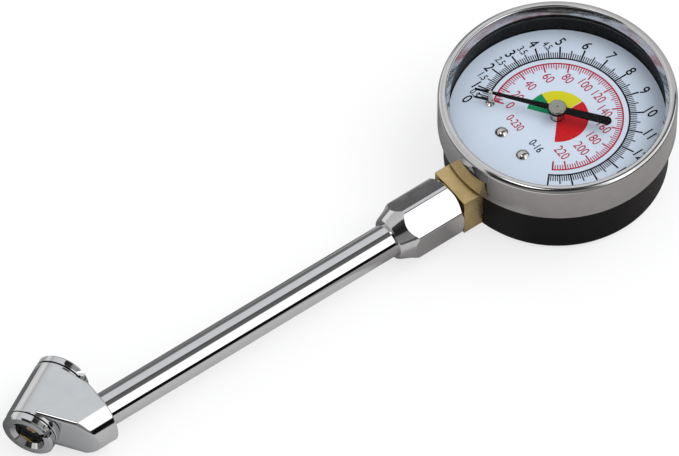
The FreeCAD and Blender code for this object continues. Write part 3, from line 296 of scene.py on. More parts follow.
def dress(finish: bpy.types.Material, *nodes: str) -> None:
    """Gives CAD nodes that are shown as they are a finish."""
    for node in nodes:
        piece = frame["nodes"][node]
        if not piece.material_slots:
            piece.data.materials.append(finish)
        for place in piece.material_slots:
            place.material = finish
        LOG.info("%s keeps its solid, in %s", node, finish.name)


# Finishes


class Wires:
    """A node tree, with short calls for its nodes."""

    def __init__(self, tree: bpy.types.NodeTree) -> None:
        """Takes the tree to work on."""
        self.tree = tree

    def node(self, kind: str, **settings: object) -> bpy.types.Node:
        """Adds a node and sets its properties."""
        made = self.tree.nodes.new(kind)
        for name, value in settings.items():
            setattr(made, name, value)
        return made

    def feed(self, socket: bpy.types.NodeSocket, value: object) -> None:
        """Links or sets an input."""
        if isinstance(value, bpy.types.NodeSocket):
            self.tree.links.new(value, socket)
        elif isinstance(value, tuple) and socket.type == "RGBA":
            socket.default_value = (*value[:3], 1)
        else:
            socket.default_value = value

    def math(self, operation: str, first: object, second: object = 0.0) -> bpy.types.NodeSocket:
        """Works out one Math node."""
        made = self.node("ShaderNodeMath", operation=operation)
        self.feed(made.inputs[0], first)
        self.feed(made.inputs[1], second)
        return made.outputs[0]

    def between(self, fac: bpy.types.NodeSocket, low: float, high: float,
                start: float = 0.25, end: float = 0.75) -> bpy.types.NodeSocket:
        """Maps a value from start to end onto low to high."""
        made = self.node("ShaderNodeMapRange")
        self.feed(made.inputs["Value"], fac)
        limits = {"From Min": start, "From Max": end, "To Min": low, "To Max": high}
        for name, value in limits.items():
            made.inputs[name].default_value = value
        return made.outputs["Result"]

    def inside(self, value: bpy.types.NodeSocket, low: float, high: float,
               soft: float) -> bpy.types.NodeSocket:
        """Gives 1 between two limits and 0 outside them, with a soft change at each."""
        rise = self.between(value, 0.0, 1.0, low - soft, low + soft)
        fall = self.between(value, 1.0, 0.0, high - soft, high + soft)
        return self.math("MULTIPLY", rise, fall)

    def blend(self, fac: object, first: object, second: object) -> bpy.types.NodeSocket:
        """Mixes two colours by a value."""
        made = self.node("ShaderNodeMix", data_type="RGBA")
        self.feed(made.inputs["Factor"], fac)
        self.feed(made.inputs["A"], first)
        self.feed(made.inputs["B"], second)
        return made.outputs["Result"]

    def ramp(self, fac: bpy.types.NodeSocket, stops: Stops) -> bpy.types.NodeSocket:
        """Gives a colour along a ramp of stops in degrees, each with a grey or a colour."""
        made = self.node("ShaderNodeValToRGB")
        self.feed(made.inputs["Fac"], self.between(fac, 0.0, 1.0, -180.0, 180.0))
        places = made.color_ramp.elements
        while len(places) < len(stops):
            places.new(0.5)
        for place, (degrees, *_) in zip(places, stops):
            place.position = (degrees + 180) / 360
        for place, (_, *shade) in zip(places, stops):
            place.color = (*(shade if len(shade) == 3 else shade * 3), 1)
        return made.outputs["Color"]


class Bench(Wires):
    """A material's node tree, with calls for the patterns that the finishes use."""

    def __init__(self, name: str) -> None:
        """Starts a material with a Principled shader."""
        self.material = bpy.data.materials.new(name)
        self.material.use_nodes = True
        super().__init__(self.material.node_tree)
        self.shader = self.tree.nodes["Principled BSDF"]
        self.place = self.node("ShaderNodeTexCoord").outputs["Object"]

    def scaled(self, vector: bpy.types.NodeSocket, scale: Colour) -> bpy.types.NodeSocket:
        """Scales coordinates, so that a pattern on them is squeezed."""
        made = self.node("ShaderNodeMapping")
        self.feed(made.inputs["Vector"], vector)
        made.inputs["Scale"].default_value = scale
        return made.outputs["Vector"]

    def turned_place(self, spread: float = 0.0012) -> bpy.types.NodeSocket:
        """Gives angle, radius and height round the Z axis, a radian as long as the spread."""
        parts = self.node("ShaderNodeSeparateXYZ")
        self.feed(parts.inputs[0], self.place)
        x, y, z = parts.outputs
        angle = self.math("MULTIPLY", self.math("ARCTAN2", y, x), spread)
        radius = self.math("SQRT", self.math("ADD", self.math("MULTIPLY", x, x),
                                             self.math("MULTIPLY", y, y)))
        joined = self.node("ShaderNodeCombineXYZ")
        for socket, value in zip(joined.inputs, (angle, radius, z)):
            self.feed(socket, value)
        return joined.outputs[0]

    def noise(self, vector: bpy.types.NodeSocket, scale: float, detail: float,
              rough: float = 0.55) -> bpy.types.NodeSocket:
        """Gives a noise value from 0 to 1."""
        made = self.node("ShaderNodeTexNoise")
        self.feed(made.inputs["Vector"], vector)
        made.inputs["Scale"].default_value = scale
        made.inputs["Detail"].default_value = detail
        made.inputs["Roughness"].default_value = rough
        return made.outputs["Fac"]

    def relief(self, height: bpy.types.NodeSocket, depth: float,
               under: bpy.types.NodeSocket | None = None) -> bpy.types.NodeSocket:
        """Turns a height from 0 to 1 into a bump of a depth in millimetres."""
        made = self.node("ShaderNodeBump")
        made.inputs["Distance"].default_value = depth * MM
        self.feed(made.inputs["Height"], height)
        if under is not None:
            self.feed(made.inputs["Normal"], under)
        return made.outputs["Normal"]

    def lay(self, lay: Lay, squeeze: float = 0.04) -> bpy.types.NodeSocket:
        """Gives coordinates in which the fine marks run the right way, squeezed into long ones."""
        if lay is Lay.TURNED:
            return self.turned_place()
        return self.scaled(self.place, (1, squeeze if lay is Lay.ACROSS else 1, 1))


@dataclass(frozen=True)
class Metal:
    """A bare or plated metal with fine marks, stains and slight waves.

    The scales of the patterns are per metre, and depth and waves are in millimetres.
    """

    name: str
    tint: Colour
    stain: Colour
    roughness: Span
    marks: float
    lay: Lay = Lay.CAST
    depth: float = 0.0006
    waves: float = 0.0
    wave_scale: float = 160.0
    stain_scale: float = 220.0
    mark_share: float = 0.6

    def make(self) -> bpy.types.Material:
        """Builds the material."""
        bench = Bench(self.name)
        shader = bench.shader.inputs
        shader["Metallic"].default_value = 1.0
        lines = bench.noise(bench.lay(self.lay), self.marks, detail=2.0)
        clouds = bench.noise(bench.place, self.stain_scale, detail=4.0)
        stained = bench.between(clouds, 0, 1)
        bench.feed(shader["Base Color"], bench.blend(stained, self.tint, self.stain))
        mixed = bench.math("ADD", bench.math("MULTIPLY", lines, self.mark_share),
                           bench.math("MULTIPLY", clouds, 1 - self.mark_share))
        bench.feed(shader["Roughness"], bench.between(mixed, *self.roughness, 0.35, 0.65))
        normal = bench.relief(lines, self.depth)
        if self.waves:
            swell = bench.noise(bench.place, self.wave_scale, detail=1.0)
            normal = bench.relief(swell, self.waves, normal)
        bench.feed(shader["Normal"], normal)
        return bench.material


@dataclass(frozen=True)
class Coat:
    """A paint, enamel, ink, rubber or fibre that hides what is under it.

    Grain and spread are the scales of its skin and its clouds per metre. Depth is in millimetres.
    """

    name: str
    colour: Colour
    shade: Colour
    roughness: Span
    grain: float
    depth: float
    spread: float = 120.0
    gloss: float = 0.5

    def make(self) -> bpy.types.Material:
        """Builds the material."""
        bench = Bench(self.name)
        shader = bench.shader.inputs
        shader["Specular IOR Level"].default_value = self.gloss
        clouds = bench.noise(bench.place, self.spread, detail=3.0)
        skin = bench.noise(bench.place, self.grain, detail=2.0)
        shaded = bench.between(clouds, 0, 1)
        bench.feed(shader["Base Color"], bench.blend(shaded, self.colour, self.shade))
        bench.feed(shader["Roughness"], bench.between(skin, *self.roughness))
        bench.feed(shader["Normal"], bench.relief(skin, self.depth))
        return bench.material


@dataclass(frozen=True)
class Pane:
    """Clear flat glass, seen by its faint mirror image and a trace of smears."""

    name: str
    mirror: float
    tint: Colour
    smear: Colour
    roughness: Span
    smear_scale: float = 90.0

    def make(self) -> bpy.types.Material:
        """Builds the material."""
        bench = Bench(self.name)
        shader = bench.shader.inputs
        shader["Metallic"].default_value = 1.0
        shader["Alpha"].default_value = self.mirror
        smears = bench.noise(bench.place, self.smear_scale, detail=4.0)
        bench.feed(shader["Base Color"], bench.blend(smears, self.tint, self.smear))
        bench.feed(shader["Roughness"], bench.between(smears, *self.roughness))
        return bench.material


# The object


@dataclass(frozen=True)
class Tick:
    """A kind of mark: how far from the dial's centre it ends, and its width, in millimetres."""

    end: float
    width: float


@dataclass(frozen=True)
class Type:
    """A kind of number.

    Height and heavy are in millimetres. Narrow is the width of the digits against the font's, and
    heavy says by how much the strokes are widened.
    """

    height: float
    narrow: float
    heavy: float


# Radius and angle of the numbers that stand off the rule, and the ends of the coloured fields
BAR_PLACES = {0: (26.2, 129.9), 0.5: (24.7, 123.9), 1: (25.5, 117.2), 2: (25.8, 101),
              3: (25.8, 83.9)}
PSI_PLACES = {0: (13.8, 127), 20: (13.2, 110.5), 40: (13.3, 87.5), 180: (12.9, -73.4),
              200: (13.1, -95.5), 220: (12.8, -121)}
SECTOR_FIELDS = (("print_sector_green", 125.5, 82.1), ("print_sector_yellow", 81.9, 0.7),
                 ("print_sector_red", -0.7, -132.0))


@dataclass
class DialPrint:
    """The scales, numbers and coloured sector on the dial, each a thin closed solid.

    Lengths are in millimetres, angles in degrees from +X towards +Y. The dial's top is at +X.
    """

    tenth: Tick = Tick(22.7, 0.3)
    half: Tick = Tick(23.7, 0.38)
    whole: Tick = Tick(24.8, 0.5)
    zero: Tick = Tick(24.4, 0.75)
    two_psi: Tick = Tick(17.1, 0.3)
    ten_psi: Tick = Tick(16.4, 0.32)
    twenty_psi: Tick = Tick(15.8, 0.46)
    zero_psi: Tick = Tick(15.8, 0.5)
    bar_type: Type = Type(3.45, 0.75, 0.07)
    half_type: Type = Type(2.35, 0.7, 0.05)
    psi_type: Type = Type(2.95, 0.75, 0.02)
    bar_note: Type = Type(2.6, 0.7, 0.05)
    psi_note: Type = Type(2.6, 0.72, 0.03)
    face: float = 19.8
    film: float = 0.03
    tick_share: float = 0.8
    tick_taper: float = 0.86
    bar_radius: float = 20.6
    bar_line: float = 0.5
    psi_radius: float = 18.75
    psi_line: float = 0.46
    zero_angle: float = 134.5
    step_angle: float = -16.76
    last_bar: int = 16
    last_psi: int = 230
    bar_in_psi: float = 14.5038
    start_angle: float = 126.8
    first_even: float = 0.7
    bar_number_radius: float = 26.6
    high_from: int = 8
    high_shift: float = 0.1
    half_number_radius: float = 25.3
    psi_number_radius: float = 13.8
    psi_number_turn: float = -2.2
    bar_note_place: Span = (12.0, -156.5)
    psi_note_place: Span = (12.1, 154.3)
    sector_radius: float = 9.0
    sector_hub: float = 2.0
    arc_step: float = 1.5

    def angle(self, bar: float) -> float:
        """Gives the dial angle of a pressure in bar; the scale is even from first_even on."""
        if bar < self.first_even:
            even = self.zero_angle + self.first_even * self.step_angle
            return self.start_angle + (even - self.start_angle) * bar / self.first_even
        return self.zero_angle + self.step_angle * bar

    def mark(self, inner: float, outer: float, width: float, angle: float) -> bpy.types.Object:
        """Prints one tick: a thin bar with its outer end drawn in a little.

        Args:
            inner: the radius it starts at.
            outer: the radius it ends at.
            width: its width at the inner end.
            angle: its dial angle.

        Returns:
            The tick as a thin closed mesh.
        """
        nothing_selected()
        length, thick = outer - inner, self.film * self.tick_share
        bpy.ops.mesh.primitive_cube_add(
            size=1, location=((inner + length / 2) * MM, 0, (self.face + thick / 2) * MM))
        bpy.context.object.scale = (length * MM, width * MM, thick * MM)
        tick = settle(bpy.context.object)
        edit_all()
        bpy.ops.mesh.select_all(action="DESELECT")
        mesh = bmesh.from_edit_mesh(tick.data)
        for face in mesh.faces:
            face.select_set(face.normal.x > 0.9)  # the outer end
        bmesh.update_edit_mesh(tick.data)
        bpy.ops.transform.resize(value=(1, self.tick_taper, 1),
                                 center_override=(outer * MM, 0, self.middle()))
        bpy.ops.mesh.select_all(action="SELECT")
        self.swing(angle)
        bpy.ops.object.mode_set(mode="OBJECT")
        return tick

    @staticmethod
    def swing(angle: float) -> None:
        """Turns what is selected in edit mode from +X to a dial angle."""
        bpy.ops.transform.rotate(value=-math.radians(angle), orient_axis="Z",
                                 center_override=(0, 0, 0))

    def middle(self) -> float:
        """Gives the height of the film's middle in metres."""
        return (self.face + self.film / 2) * MM

    def repeat(self, tick: bpy.types.Object, step: float, count: int) -> bpy.types.Object:
        """Copies a mark round the dial, count times, step degrees apart."""
        if count > 0:
            take(tick)
            edit_all()
            bpy.ops.mesh.spin(steps=count, dupli=True, angle=-math.radians(step) * count,
                              center=(0, 0, 0), axis=(0, 0, 1))
            bpy.ops.object.mode_set(mode="OBJECT")
        return tick

    def band(self, name: str, inner: float, outer: float, start: float,
             end: float) -> bpy.types.Object:
        """Prints an arc or a sector between two radii and two angles.

        Args:
            name: the piece's name.
            inner: the inner radius in millimetres.
            outer: the outer radius in millimetres.
            start: the angle it starts at, in degrees.
            end: the angle it ends at, less than start.

        Returns:
            The closed band.
        """
        nothing_selected()
        middle = (inner + outer) / 2
        bpy.ops.mesh.primitive_plane_add(size=1, location=(middle * MM, 0, self.middle()),
                                         rotation=(math.pi / 2, 0, 0))
        bpy.context.object.scale = ((outer - inner) * MM, self.film * MM, 1)
        band = settle(bpy.context.object)
        edit_all()
        self.swing(start)
        steps = round((start - end) / self.arc_step)
        bpy.ops.mesh.spin(steps=steps, angle=-math.radians(end - start), center=(0, 0, 0),
                          axis=(0, 0, 1))
        close_edit()
        band.name = name
        return band

    def number(self, text: str, place: Span, kind: Type) -> bpy.types.Object:
        """Prints one number upright.

        Args:
            text: the number.
            place: the radius and the dial angle of its middle.
            kind: its size and weight.

        Returns:
            The number as a thin closed mesh.
        """
        nothing_selected()
        bpy.ops.object.text_add()
        curve = bpy.context.object
        curve.data.body = text
        curve.data.size = kind.height * MM
        curve.data.extrude = self.film / 2 * MM
        curve.data.resolution_u = 5
        take(curve)
        bpy.ops.object.convert(target="MESH")
        digits = bpy.context.object
        edit_all()
        bpy.ops.mesh.remove_doubles(threshold=GLYPH_MERGE)
        bpy.ops.mesh.normals_make_consistent(inside=False)
        bpy.ops.transform.shrink_fatten(value=kind.heavy * MM)
        bpy.ops.object.mode_set(mode="OBJECT")
        stretch = kind.height * MM / digits.dimensions.y
        digits.scale = (stretch * kind.narrow, stretch, self.film * MM / digits.dimensions.z)
        settle(digits)
        corners = [Vector(corner) for corner in digits.bound_box]
        digits.location = -sum(corners, Vector()) / len(corners)
        settle(digits)
        digits.rotation_euler = (0, 0, -math.pi / 2)
        radius, turn = place[0] * MM, math.radians(place[1])
        digits.location = (radius * math.cos(turn), radius * math.sin(turn), self.middle())
        settle(digits)
        edit_all()
        close_edit()
        return digits

    def bar_scale(self) -> bpy.types.Object:
        """Builds the black outer scale."""
        low, line = self.bar_radius - self.bar_line / 2, self.bar_line
        end = self.angle(self.last_bar)
        pieces = [self.band("bar_arc", low, low + line, self.start_angle, end)]
        step = self.step_angle / 10
        halves = 2 * (self.last_bar - 1)
        for nth in range(1, 5):
            tick = self.mark(low, self.tenth.end, self.tenth.width, self.angle(1) + nth * step)
            pieces.append(self.repeat(tick, 5 * step, halves - 1))
        half = self.mark(low, self.half.end, self.half.width, self.angle(1.5))
        pieces.append(self.repeat(half, self.step_angle, self.last_bar - 2))
        whole = self.mark(low, self.whole.end, self.whole.width, self.angle(1))
        pieces.append(self.repeat(whole, self.step_angle, self.last_bar - 1))
        for bar in (0, 0.25, 0.5, 0.75):
            kind = {0: self.zero, 0.5: self.half}.get(bar, self.tenth)
            pieces.append(self.mark(low, kind.end, kind.width, self.angle(bar)))
        return join_pieces("print_bar_scale", pieces)

    def bar_numbers(self) -> bpy.types.Object:
        """Builds the numbers of the outer scale."""
        pieces = []
        for bar in range(self.last_bar + 1):
            radius = self.bar_number_radius + max(0, bar - self.high_from) * self.high_shift
            place = BAR_PLACES.get(bar, (radius, self.angle(bar)))
            pieces.append(self.number(str(bar), place, self.bar_type))
        for bar in (0.5, 1.5, 2.5, 3.5, 4.5):
            place = BAR_PLACES.get(bar, (self.half_number_radius, self.angle(bar)))
            pieces.append(self.number(str(bar), place, self.half_type))
        pieces.append(self.number(f"0-{self.last_bar}", self.bar_note_place, self.bar_note))
        return join_pieces("print_bar_numbers", pieces)

    def psi_scale(self) -> bpy.types.Object:
        """Builds the red inner scale."""
        line = self.psi_line
        high = self.psi_radius + line / 2
        end = self.angle(self.last_psi / self.bar_in_psi)
        pieces = [self.band("psi_arc", high - line, high, self.start_angle, end)]
        ten = 10 * self.step_angle / self.bar_in_psi
        first = self.angle(10 / self.bar_in_psi)
        for nth in range(1, 5):
            tick = self.mark(self.two_psi.end, high, self.two_psi.width, first + nth * ten / 5)
            pieces.append(self.repeat(tick, ten, self.last_psi // 10 - 2))
        for share in (1 / 3, 2 / 3):
            angle = self.start_angle + (first - self.start_angle) * share
            pieces.append(self.mark(self.two_psi.end, high, self.two_psi.width, angle))
        short = self.mark(self.ten_psi.end, high, self.ten_psi.width, first)
        pieces.append(self.repeat(short, 2 * ten, self.last_psi // 20))
        longer = self.mark(self.twenty_psi.end, high, self.twenty_psi.width, first + ten)
        pieces.append(self.repeat(longer, 2 * ten, self.last_psi // 20 - 1))
        for kind, angle in ((self.zero_psi, self.start_angle), (self.twenty_psi, end)):
            pieces.append(self.mark(kind.end, high, kind.width, angle))
        return join_pieces("print_psi_scale", pieces)

    def psi_numbers(self) -> bpy.types.Object:
        """Builds the numbers of the inner scale."""
        pieces = []
        for psi in range(0, self.last_psi, 20):
            angle = self.angle(psi / self.bar_in_psi) + self.psi_number_turn
            place = PSI_PLACES.get(psi, (self.psi_number_radius, angle))
            pieces.append(self.number(str(psi), place, self.psi_type))
        pieces.append(self.number(f"0-{self.last_psi}", self.psi_note_place, self.psi_note))
        return join_pieces("print_psi_numbers", pieces)

    def build(self, black: bpy.types.Material, red: bpy.types.Material, green: bpy.types.Material,
              yellow: bpy.types.Material, warning: bpy.types.Material) -> None:
        """Prints the whole dial.

        Args:
            black: ink of the outer scale.
            red: ink of the inner scale.
            green: the sector's low colour.
            yellow: the sector's middle colour.
            warning: the sector's high colour.
        """
        for piece in (self.bar_scale(), self.bar_numbers()):
            fit(piece, black, "gauge", "dial_enamel")
        for piece in (self.psi_scale(), self.psi_numbers()):
            fit(piece, red, "gauge", "dial_enamel")
        for ink, (name, start, end) in zip((green, yellow, warning), SECTOR_FIELDS):
            band = self.band(name, self.sector_hub, self.sector_radius, start, end)
            fit(band, ink, "gauge", "dial_enamel")


@dataclass
class BezelRing:
    """The polished ring that holds the window, with its rounded crown, in millimetres."""

    bore: float = 32.3
    outer: float = 34.0
    skirt: float = 17.4
    top: float = 30.1
    opening: float = 30.5
    lip: float = 27.25
    flare: float = 31.6
    crown: float = 1.6
    rim: float = 0.61
    foot: float = 0.31
    lip_edge: Span = (0.05, 0.12)

    def profile(self) -> Profile:
        """Gives the ring's section, from the foot of its bore round the outside."""
        slope = math.degrees(math.atan2(self.top - self.lip, self.flare - self.opening))
        back = self.rim * math.tan(math.radians(slope / 2))
        foot = (self.outer - self.foot, self.skirt + self.foot)
        crown = (self.outer - self.crown, self.top - self.crown)
        rim = (self.flare + back, self.top - self.rim)
        return [
            (self.bore, self.skirt),
            *arc_points(foot, self.foot, -90, 0, steps=3),
            *arc_points(crown, self.crown, 0, 90, steps=14),
            *arc_points(rim, self.rim, 90, 90 + slope, steps=8),
            (self.opening + self.lip_edge[0], self.lip + self.lip_edge[1]),
            (self.opening + self.lip_edge[1], self.lip), (self.bore, self.lip)]

    def build(self, finish: bpy.types.Material) -> None:
        """Builds and dresses the ring."""
        ring = turn_ring("bezel_shell", self.profile(), segments=224)
        fit(smooth(ring, angle=40), finish, "gauge", "bezel_chrome", "bezel_ring")


@dataclass
class Stem:
    """The square brass stem, the hexagon and the long tube, in millimetres."""

    height: float = 9.2
    tube_radius: float = 5.0
    tube_bore: float = 3.0
    tube_start: float = 50.5
    tube_end: float = 167.5
    tube_edge: float = 0.2
    hex_face: float = 38.6
    across_flats: float = 15.7
    hex_length: float = 15.2
    neck_run: float = 5.7
    neck_radius: float = 6.4
    spigot_bore: float = 4.9
    gas_bore: float = 2.0
    thread_end: float = 9.25
    seat: float = 5.04
    hex_margin: float = 0.05
    hex_chamfer: float = 1.0
    hex_slope: float = 2.0
    neck_edge: float = 0.45
    neck_slope: float = 0.25
    long_corner: float = 0.8
    rim_corner: float = 0.22

    def along_tube(self, start: float) -> Matrix:
        """Gives the place of a part that is made along +Z and lies along -X from a start."""
        return Matrix.Translation((-start * MM, 0, self.height * MM)) @ Matrix.Rotation(
            -math.pi / 2, 4, "Y")

    def corner_radius(self) -> float:
        """Gives the radius of the circle round the hexagon's corners."""
        return self.across_flats / 2 / math.cos(HEX_HALF)

    def build_tube(self, finish: bpy.types.Material) -> None:
        """Builds and dresses the tube with its edges broken."""
        length, edge = self.tube_end - self.tube_start, self.tube_edge
        profile = [(self.tube_bore, 0), (self.tube_radius - edge, 0), (self.tube_radius, edge),
                   (self.tube_radius, length - edge), (self.tube_radius - edge, length),
                   (self.tube_bore, length)]
        tube = turn_ring("tube_shell", profile, segments=128)
        lay_over(tube, self.along_tube(self.tube_start))
        fit(smooth(tube), finish, "gauge", "chrome", "extension_tube")

    def envelope(self) -> bpy.types.Object:
        """Turns the solid that cuts the hexagon's ends round and leaves its bores."""
        flat, corner = self.across_flats / 2, self.corner_radius() + self.hex_margin
        edge = self.neck_edge
        total, seat_low = self.hex_length + self.neck_run, self.tube_start - self.hex_face
        profile = [
            (self.spigot_bore, 0), (flat, 0), (corner, self.hex_chamfer), (corner, self.hex_length),
            (flat, self.hex_length + self.hex_slope),
            (self.neck_radius + self.neck_slope, total - self.neck_slope * 3),
            *arc_points((self.neck_radius - edge, total - edge), edge, 20, 90, steps=4),
            (self.seat, total), (self.seat, seat_low), (self.gas_bore, seat_low),
            (self.gas_bore, self.thread_end), (self.spigot_bore, self.thread_end)]
        return turn_ring("envelope", profile, segments=144)

    def build_hexagon(self, chrome: bpy.types.Material) -> None:
        """Cuts a hexagon bar with the turned envelope and rounds its edges."""
        envelope = self.envelope()
        nothing_selected()
        total = self.hex_length + self.neck_run
        bpy.ops.mesh.primitive_cylinder_add(
            vertices=HEX_SIDES, radius=self.corner_radius() * MM, depth=(total + 2) * MM,
            location=(0, 0, total / 2 * MM), rotation=(0, 0, HEX_HALF))
        bar = settle(bpy.context.object)
        bar.name = bar.data.name = "hexagon_shell"
        bevel = bar.modifiers.new("long_corners", "BEVEL")
        bevel.width, bevel.segments, bevel.angle_limit = self.long_corner * MM, 6, math.radians(40)
        bpy.ops.object.modifier_apply(modifier="long_corners")
        both = bar.modifiers.new("turned_ends", "BOOLEAN")
        both.operation, both.solver, both.object = "INTERSECT", "EXACT", envelope
        bpy.ops.object.modifier_apply(modifier="turned_ends")
        bpy.data.objects.remove(envelope)
        rims = bar.modifiers.new("rims", "BEVEL")
        rims.width, rims.segments = self.rim_corner * MM, CORNER_SEGMENTS
        rims.angle_limit = math.radians(24)
        bpy.ops.object.modifier_apply(modifier="rims")
        lay_over(bar, self.along_tube(self.hex_face))
        fit(smooth(bar, angle=24), chrome, "gauge", "chrome", "hex_adapter")

    def build_stem(self, brass: bpy.types.Material) -> None:
        """Rounds the corners of the brass stem."""
        stem = copy_of_solid("socket_block", "brass_stem_shell", Edge.BROKEN)
        fit(stem, brass, "gauge", "brass", "socket_block")


@dataclass
class Studio:
    """The camera, a pale floor and a plain soft studio round the object.

    Focus, sensor, eye and target are in millimetres, everything else in metres. A painted
    reflection zone is its reach along X, its reach along Y and its colour: painted shade or painted
    light that only reflections see on the floor. A panel's stops are angles round the X axis from
    straight up, positive towards -Y, each with a grey or a colour.
    """

    focus: float = 349.20
    sensor: float = 36.0
    clip: Span = (0.05, 50.0)
    eye: Colour = (-695.658, -867.067, 1522.917)
    target: Colour = (-69.365, 9.813, 12.0)
    roll: float = -0.749
    floor_size: float = 6.0
    floor_place: Colour = (-0.07, 0.0, -0.0001)
    # Floor colours that only reflections see: a painted mid tone near the object and painted
    # darkness far off in front
    floor_tone: Colour = (0.62, 0.61, 0.6)
    far_tone: Colour = (0.05, 0.05, 0.05)
    mirrored_tone: Colour = (0.86, 0.86, 0.87)
    floor_roughness: float = 0.9
    floor_gloss: float = 0.1
    floor_glow: float = 0.7
    zone_edges: Span = (0.003, 0.006)
    far_reach: Span = (0.3, 0.8)
    far_side: Span = (0.0, 0.1)
    # Painted shade and painted light on the floor, seen only in reflections: painted shade in front
    # of the gauge and the stem, behind the stem and behind the gauge, a darker painted shadow band
    # just behind the gauge, a small painted light patch beside the brass stem, a mid grey in front
    # of the chuck, painted shade just behind it and painted light further behind it
    floor_zones: tuple[tuple[Span, Span, Colour], ...] = (
        ((-0.064, 0.3), (-0.3, 0.006), (0.36, 0.345, 0.335)),
        ((-0.158, -0.054), (0.006, 0.9), (0.2, 0.2, 0.2)),
        ((-0.037, -0.026), (-0.02, 0.002), (0.8, 0.78, 0.75)),
        ((-0.054, 0.3), (0.006, 0.9), (0.4, 0.39, 0.39)),
        ((-0.03, 0.12), (0.034, 0.075), (0.12, 0.12, 0.12)),
        ((-0.5, -0.162), (-0.3, 0.006), (0.5, 0.5, 0.505)),
        ((-0.5, -0.162), (0.006, 0.15), (0.15, 0.15, 0.15)),
        ((-0.5, -0.162), (0.15, 9.0), (0.9, 0.9, 0.9)))
    spot_along: Span = (-0.42, -0.14)
    spot_over: Span = (-9.0, 9.0)
    spot_edges: Span = (0.03, 3.0)
    spot_light: Colour = (3.0, 3.0, 3.0)
    world_tone: Colour = (0.92, 0.93, 0.95)
    far_from: Span = (0.1, 0.1)
    side_from: Span = (0.42, 0.04)
    lamp_place: Colour = (0.62, -0.42, 1.2)
    lamp_aim: Colour = (-0.05, 0.0, 0.02)
    lamp_size: Span = (1.2, 0.9)
    lamp_energy: float = 10.0
    far_panels: Stops = (
        (-180, 0.2), (-93, 0.1), (-88, 0.16), (-80, 0.22), (-64, 0.26), (-59, 0.9, 0.93, 0.96),
        (-15, 0.95, 0.97, 1.0), (-12, 0.07), (-5, 0.15), (16, 0.2), (20, 1.9), (67, 2.1), (70, 0.0),
        (89, 0.01), (92, 0.4), (180, 0.4))
    side_panels: Stops = (
        (-180, 0.3), (-93, 0.3), (-90, 0.62), (-62, 0.68), (-40, 0.7), (-15, 0.8), (-12, 0.07),
        (10, 0.15), (20, 1.2), (67, 1.3), (70, 0.0), (89, 0.01), (92, 0.4), (180, 0.4))
    front_panels: Stops = (
        (-180, 0.2), (-90, 0.5), (-88, 1.1), (-70, 1.1), (-62, 0.75), (-16, 0.85), (-12, 0.08),
        (12, 0.03), (36, 0.03), (44, 0.28), (80, 0.32), (86, 0.03), (92, 0.4), (180, 0.4))

    def camera(self) -> None:
        """Stands the camera where the photograph was taken from."""
        data = bpy.data.cameras.new("camera")
        data.lens = self.focus
        data.sensor_width = self.sensor
        data.clip_start, data.clip_end = self.clip
        view = (Vector(self.target) - Vector(self.eye)).normalized()
        right = view.cross(Vector((0, 0, 1))).normalized()
        up = right.cross(view)
        turn = math.radians(self.roll)
        level = math.cos(turn) * right + math.sin(turn) * up
        head = -math.sin(turn) * right + math.cos(turn) * up
        placed = Matrix((level, head, -view)).transposed().to_4x4()
        placed.translation = Vector(self.eye) * MM
        camera = bpy.data.objects.new("camera", data)
        camera.matrix_world = placed
        bpy.context.scene.collection.objects.link(camera)
        bpy.context.scene.camera = camera

    def surroundings(self) -> None:
        """Lights the object by long soft panels with dark gaps, in a world white to the camera."""
        world = bpy.data.worlds.new("studio")
        world.use_nodes = True
        bpy.context.scene.world = world
        sky = Wires(world.node_tree)
        unit = sky.node("ShaderNodeVectorMath", operation="NORMALIZE")
        sky.feed(unit.inputs[0], sky.node("ShaderNodeTexCoord").outputs["Generated"])
        parts = sky.node("ShaderNodeSeparateXYZ")
        sky.feed(parts.inputs[0], unit.outputs[0])
        along, side, height = parts.outputs
        over = sky.math("DEGREES", sky.math("ARCTAN2", sky.math("MULTIPLY", side, -1.0), height))
        panels = sky.ramp(over, self.front_panels)
        for (start, edge), stops in ((self.far_from, self.far_panels),
                                     (self.side_from, self.side_panels)):
            reach = sky.inside(along, start, BEYOND, edge)
            panels = sky.blend(reach, panels, sky.ramp(over, stops))
        spot = sky.math("MULTIPLY", sky.inside(along, *self.spot_along, self.spot_edges[0]),
                        sky.inside(over, *self.spot_over, self.spot_edges[1]))
        panels = sky.blend(spot, panels, self.spot_light)
        path = sky.node("ShaderNodeLightPath")
        soft = sky.blend(path.outputs["Is Glossy Ray"], self.world_tone, panels)
        seen = sky.blend(path.outputs["Is Camera Ray"], soft, (1.0, 1.0, 1.0))
        sky.feed(sky.tree.nodes["Background"].inputs["Color"], seen)

    def floor(self) -> None:
        """Lays a pale floor that keeps the object's shadow and is white to the camera."""
        nothing_selected()
        bpy.ops.mesh.primitive_plane_add(size=self.floor_size, location=self.floor_place)
        floor = settle(bpy.context.object)
        floor.name = "studio_floor"
        bench = Bench("pale_floor")
        paint = bench.shader.inputs
        paint["Roughness"].default_value = self.floor_roughness
        paint["Specular IOR Level"].default_value = self.floor_gloss
        parts = bench.node("ShaderNodeSeparateXYZ")
        bench.feed(parts.inputs[0], bench.place)
        # Reflections see painted shade and painted light here: the zone colours near the object;
        # other rays see the plain pale floor colour
        painted_shade_and_light: object = self.floor_tone
        for (left, right), (front, back), tone in self.floor_zones:
            along = bench.inside(parts.outputs["X"], left, right, self.zone_edges[0])
            across = bench.inside(parts.outputs["Y"], front, back, self.zone_edges[1])
            zone = bench.math("MULTIPLY", along, across)
            painted_shade_and_light = bench.blend(zone, painted_shade_and_light, tone)
        length = bench.node("ShaderNodeVectorMath", operation="LENGTH")
        bench.feed(length.inputs[0], bench.place)
        away = bench.between(length.outputs["Value"], 0.0, 1.0, *self.far_reach)
        ahead = bench.between(parts.outputs["Y"], 1.0, 0.0, *self.far_side)
        far = bench.math("MULTIPLY", away, ahead)
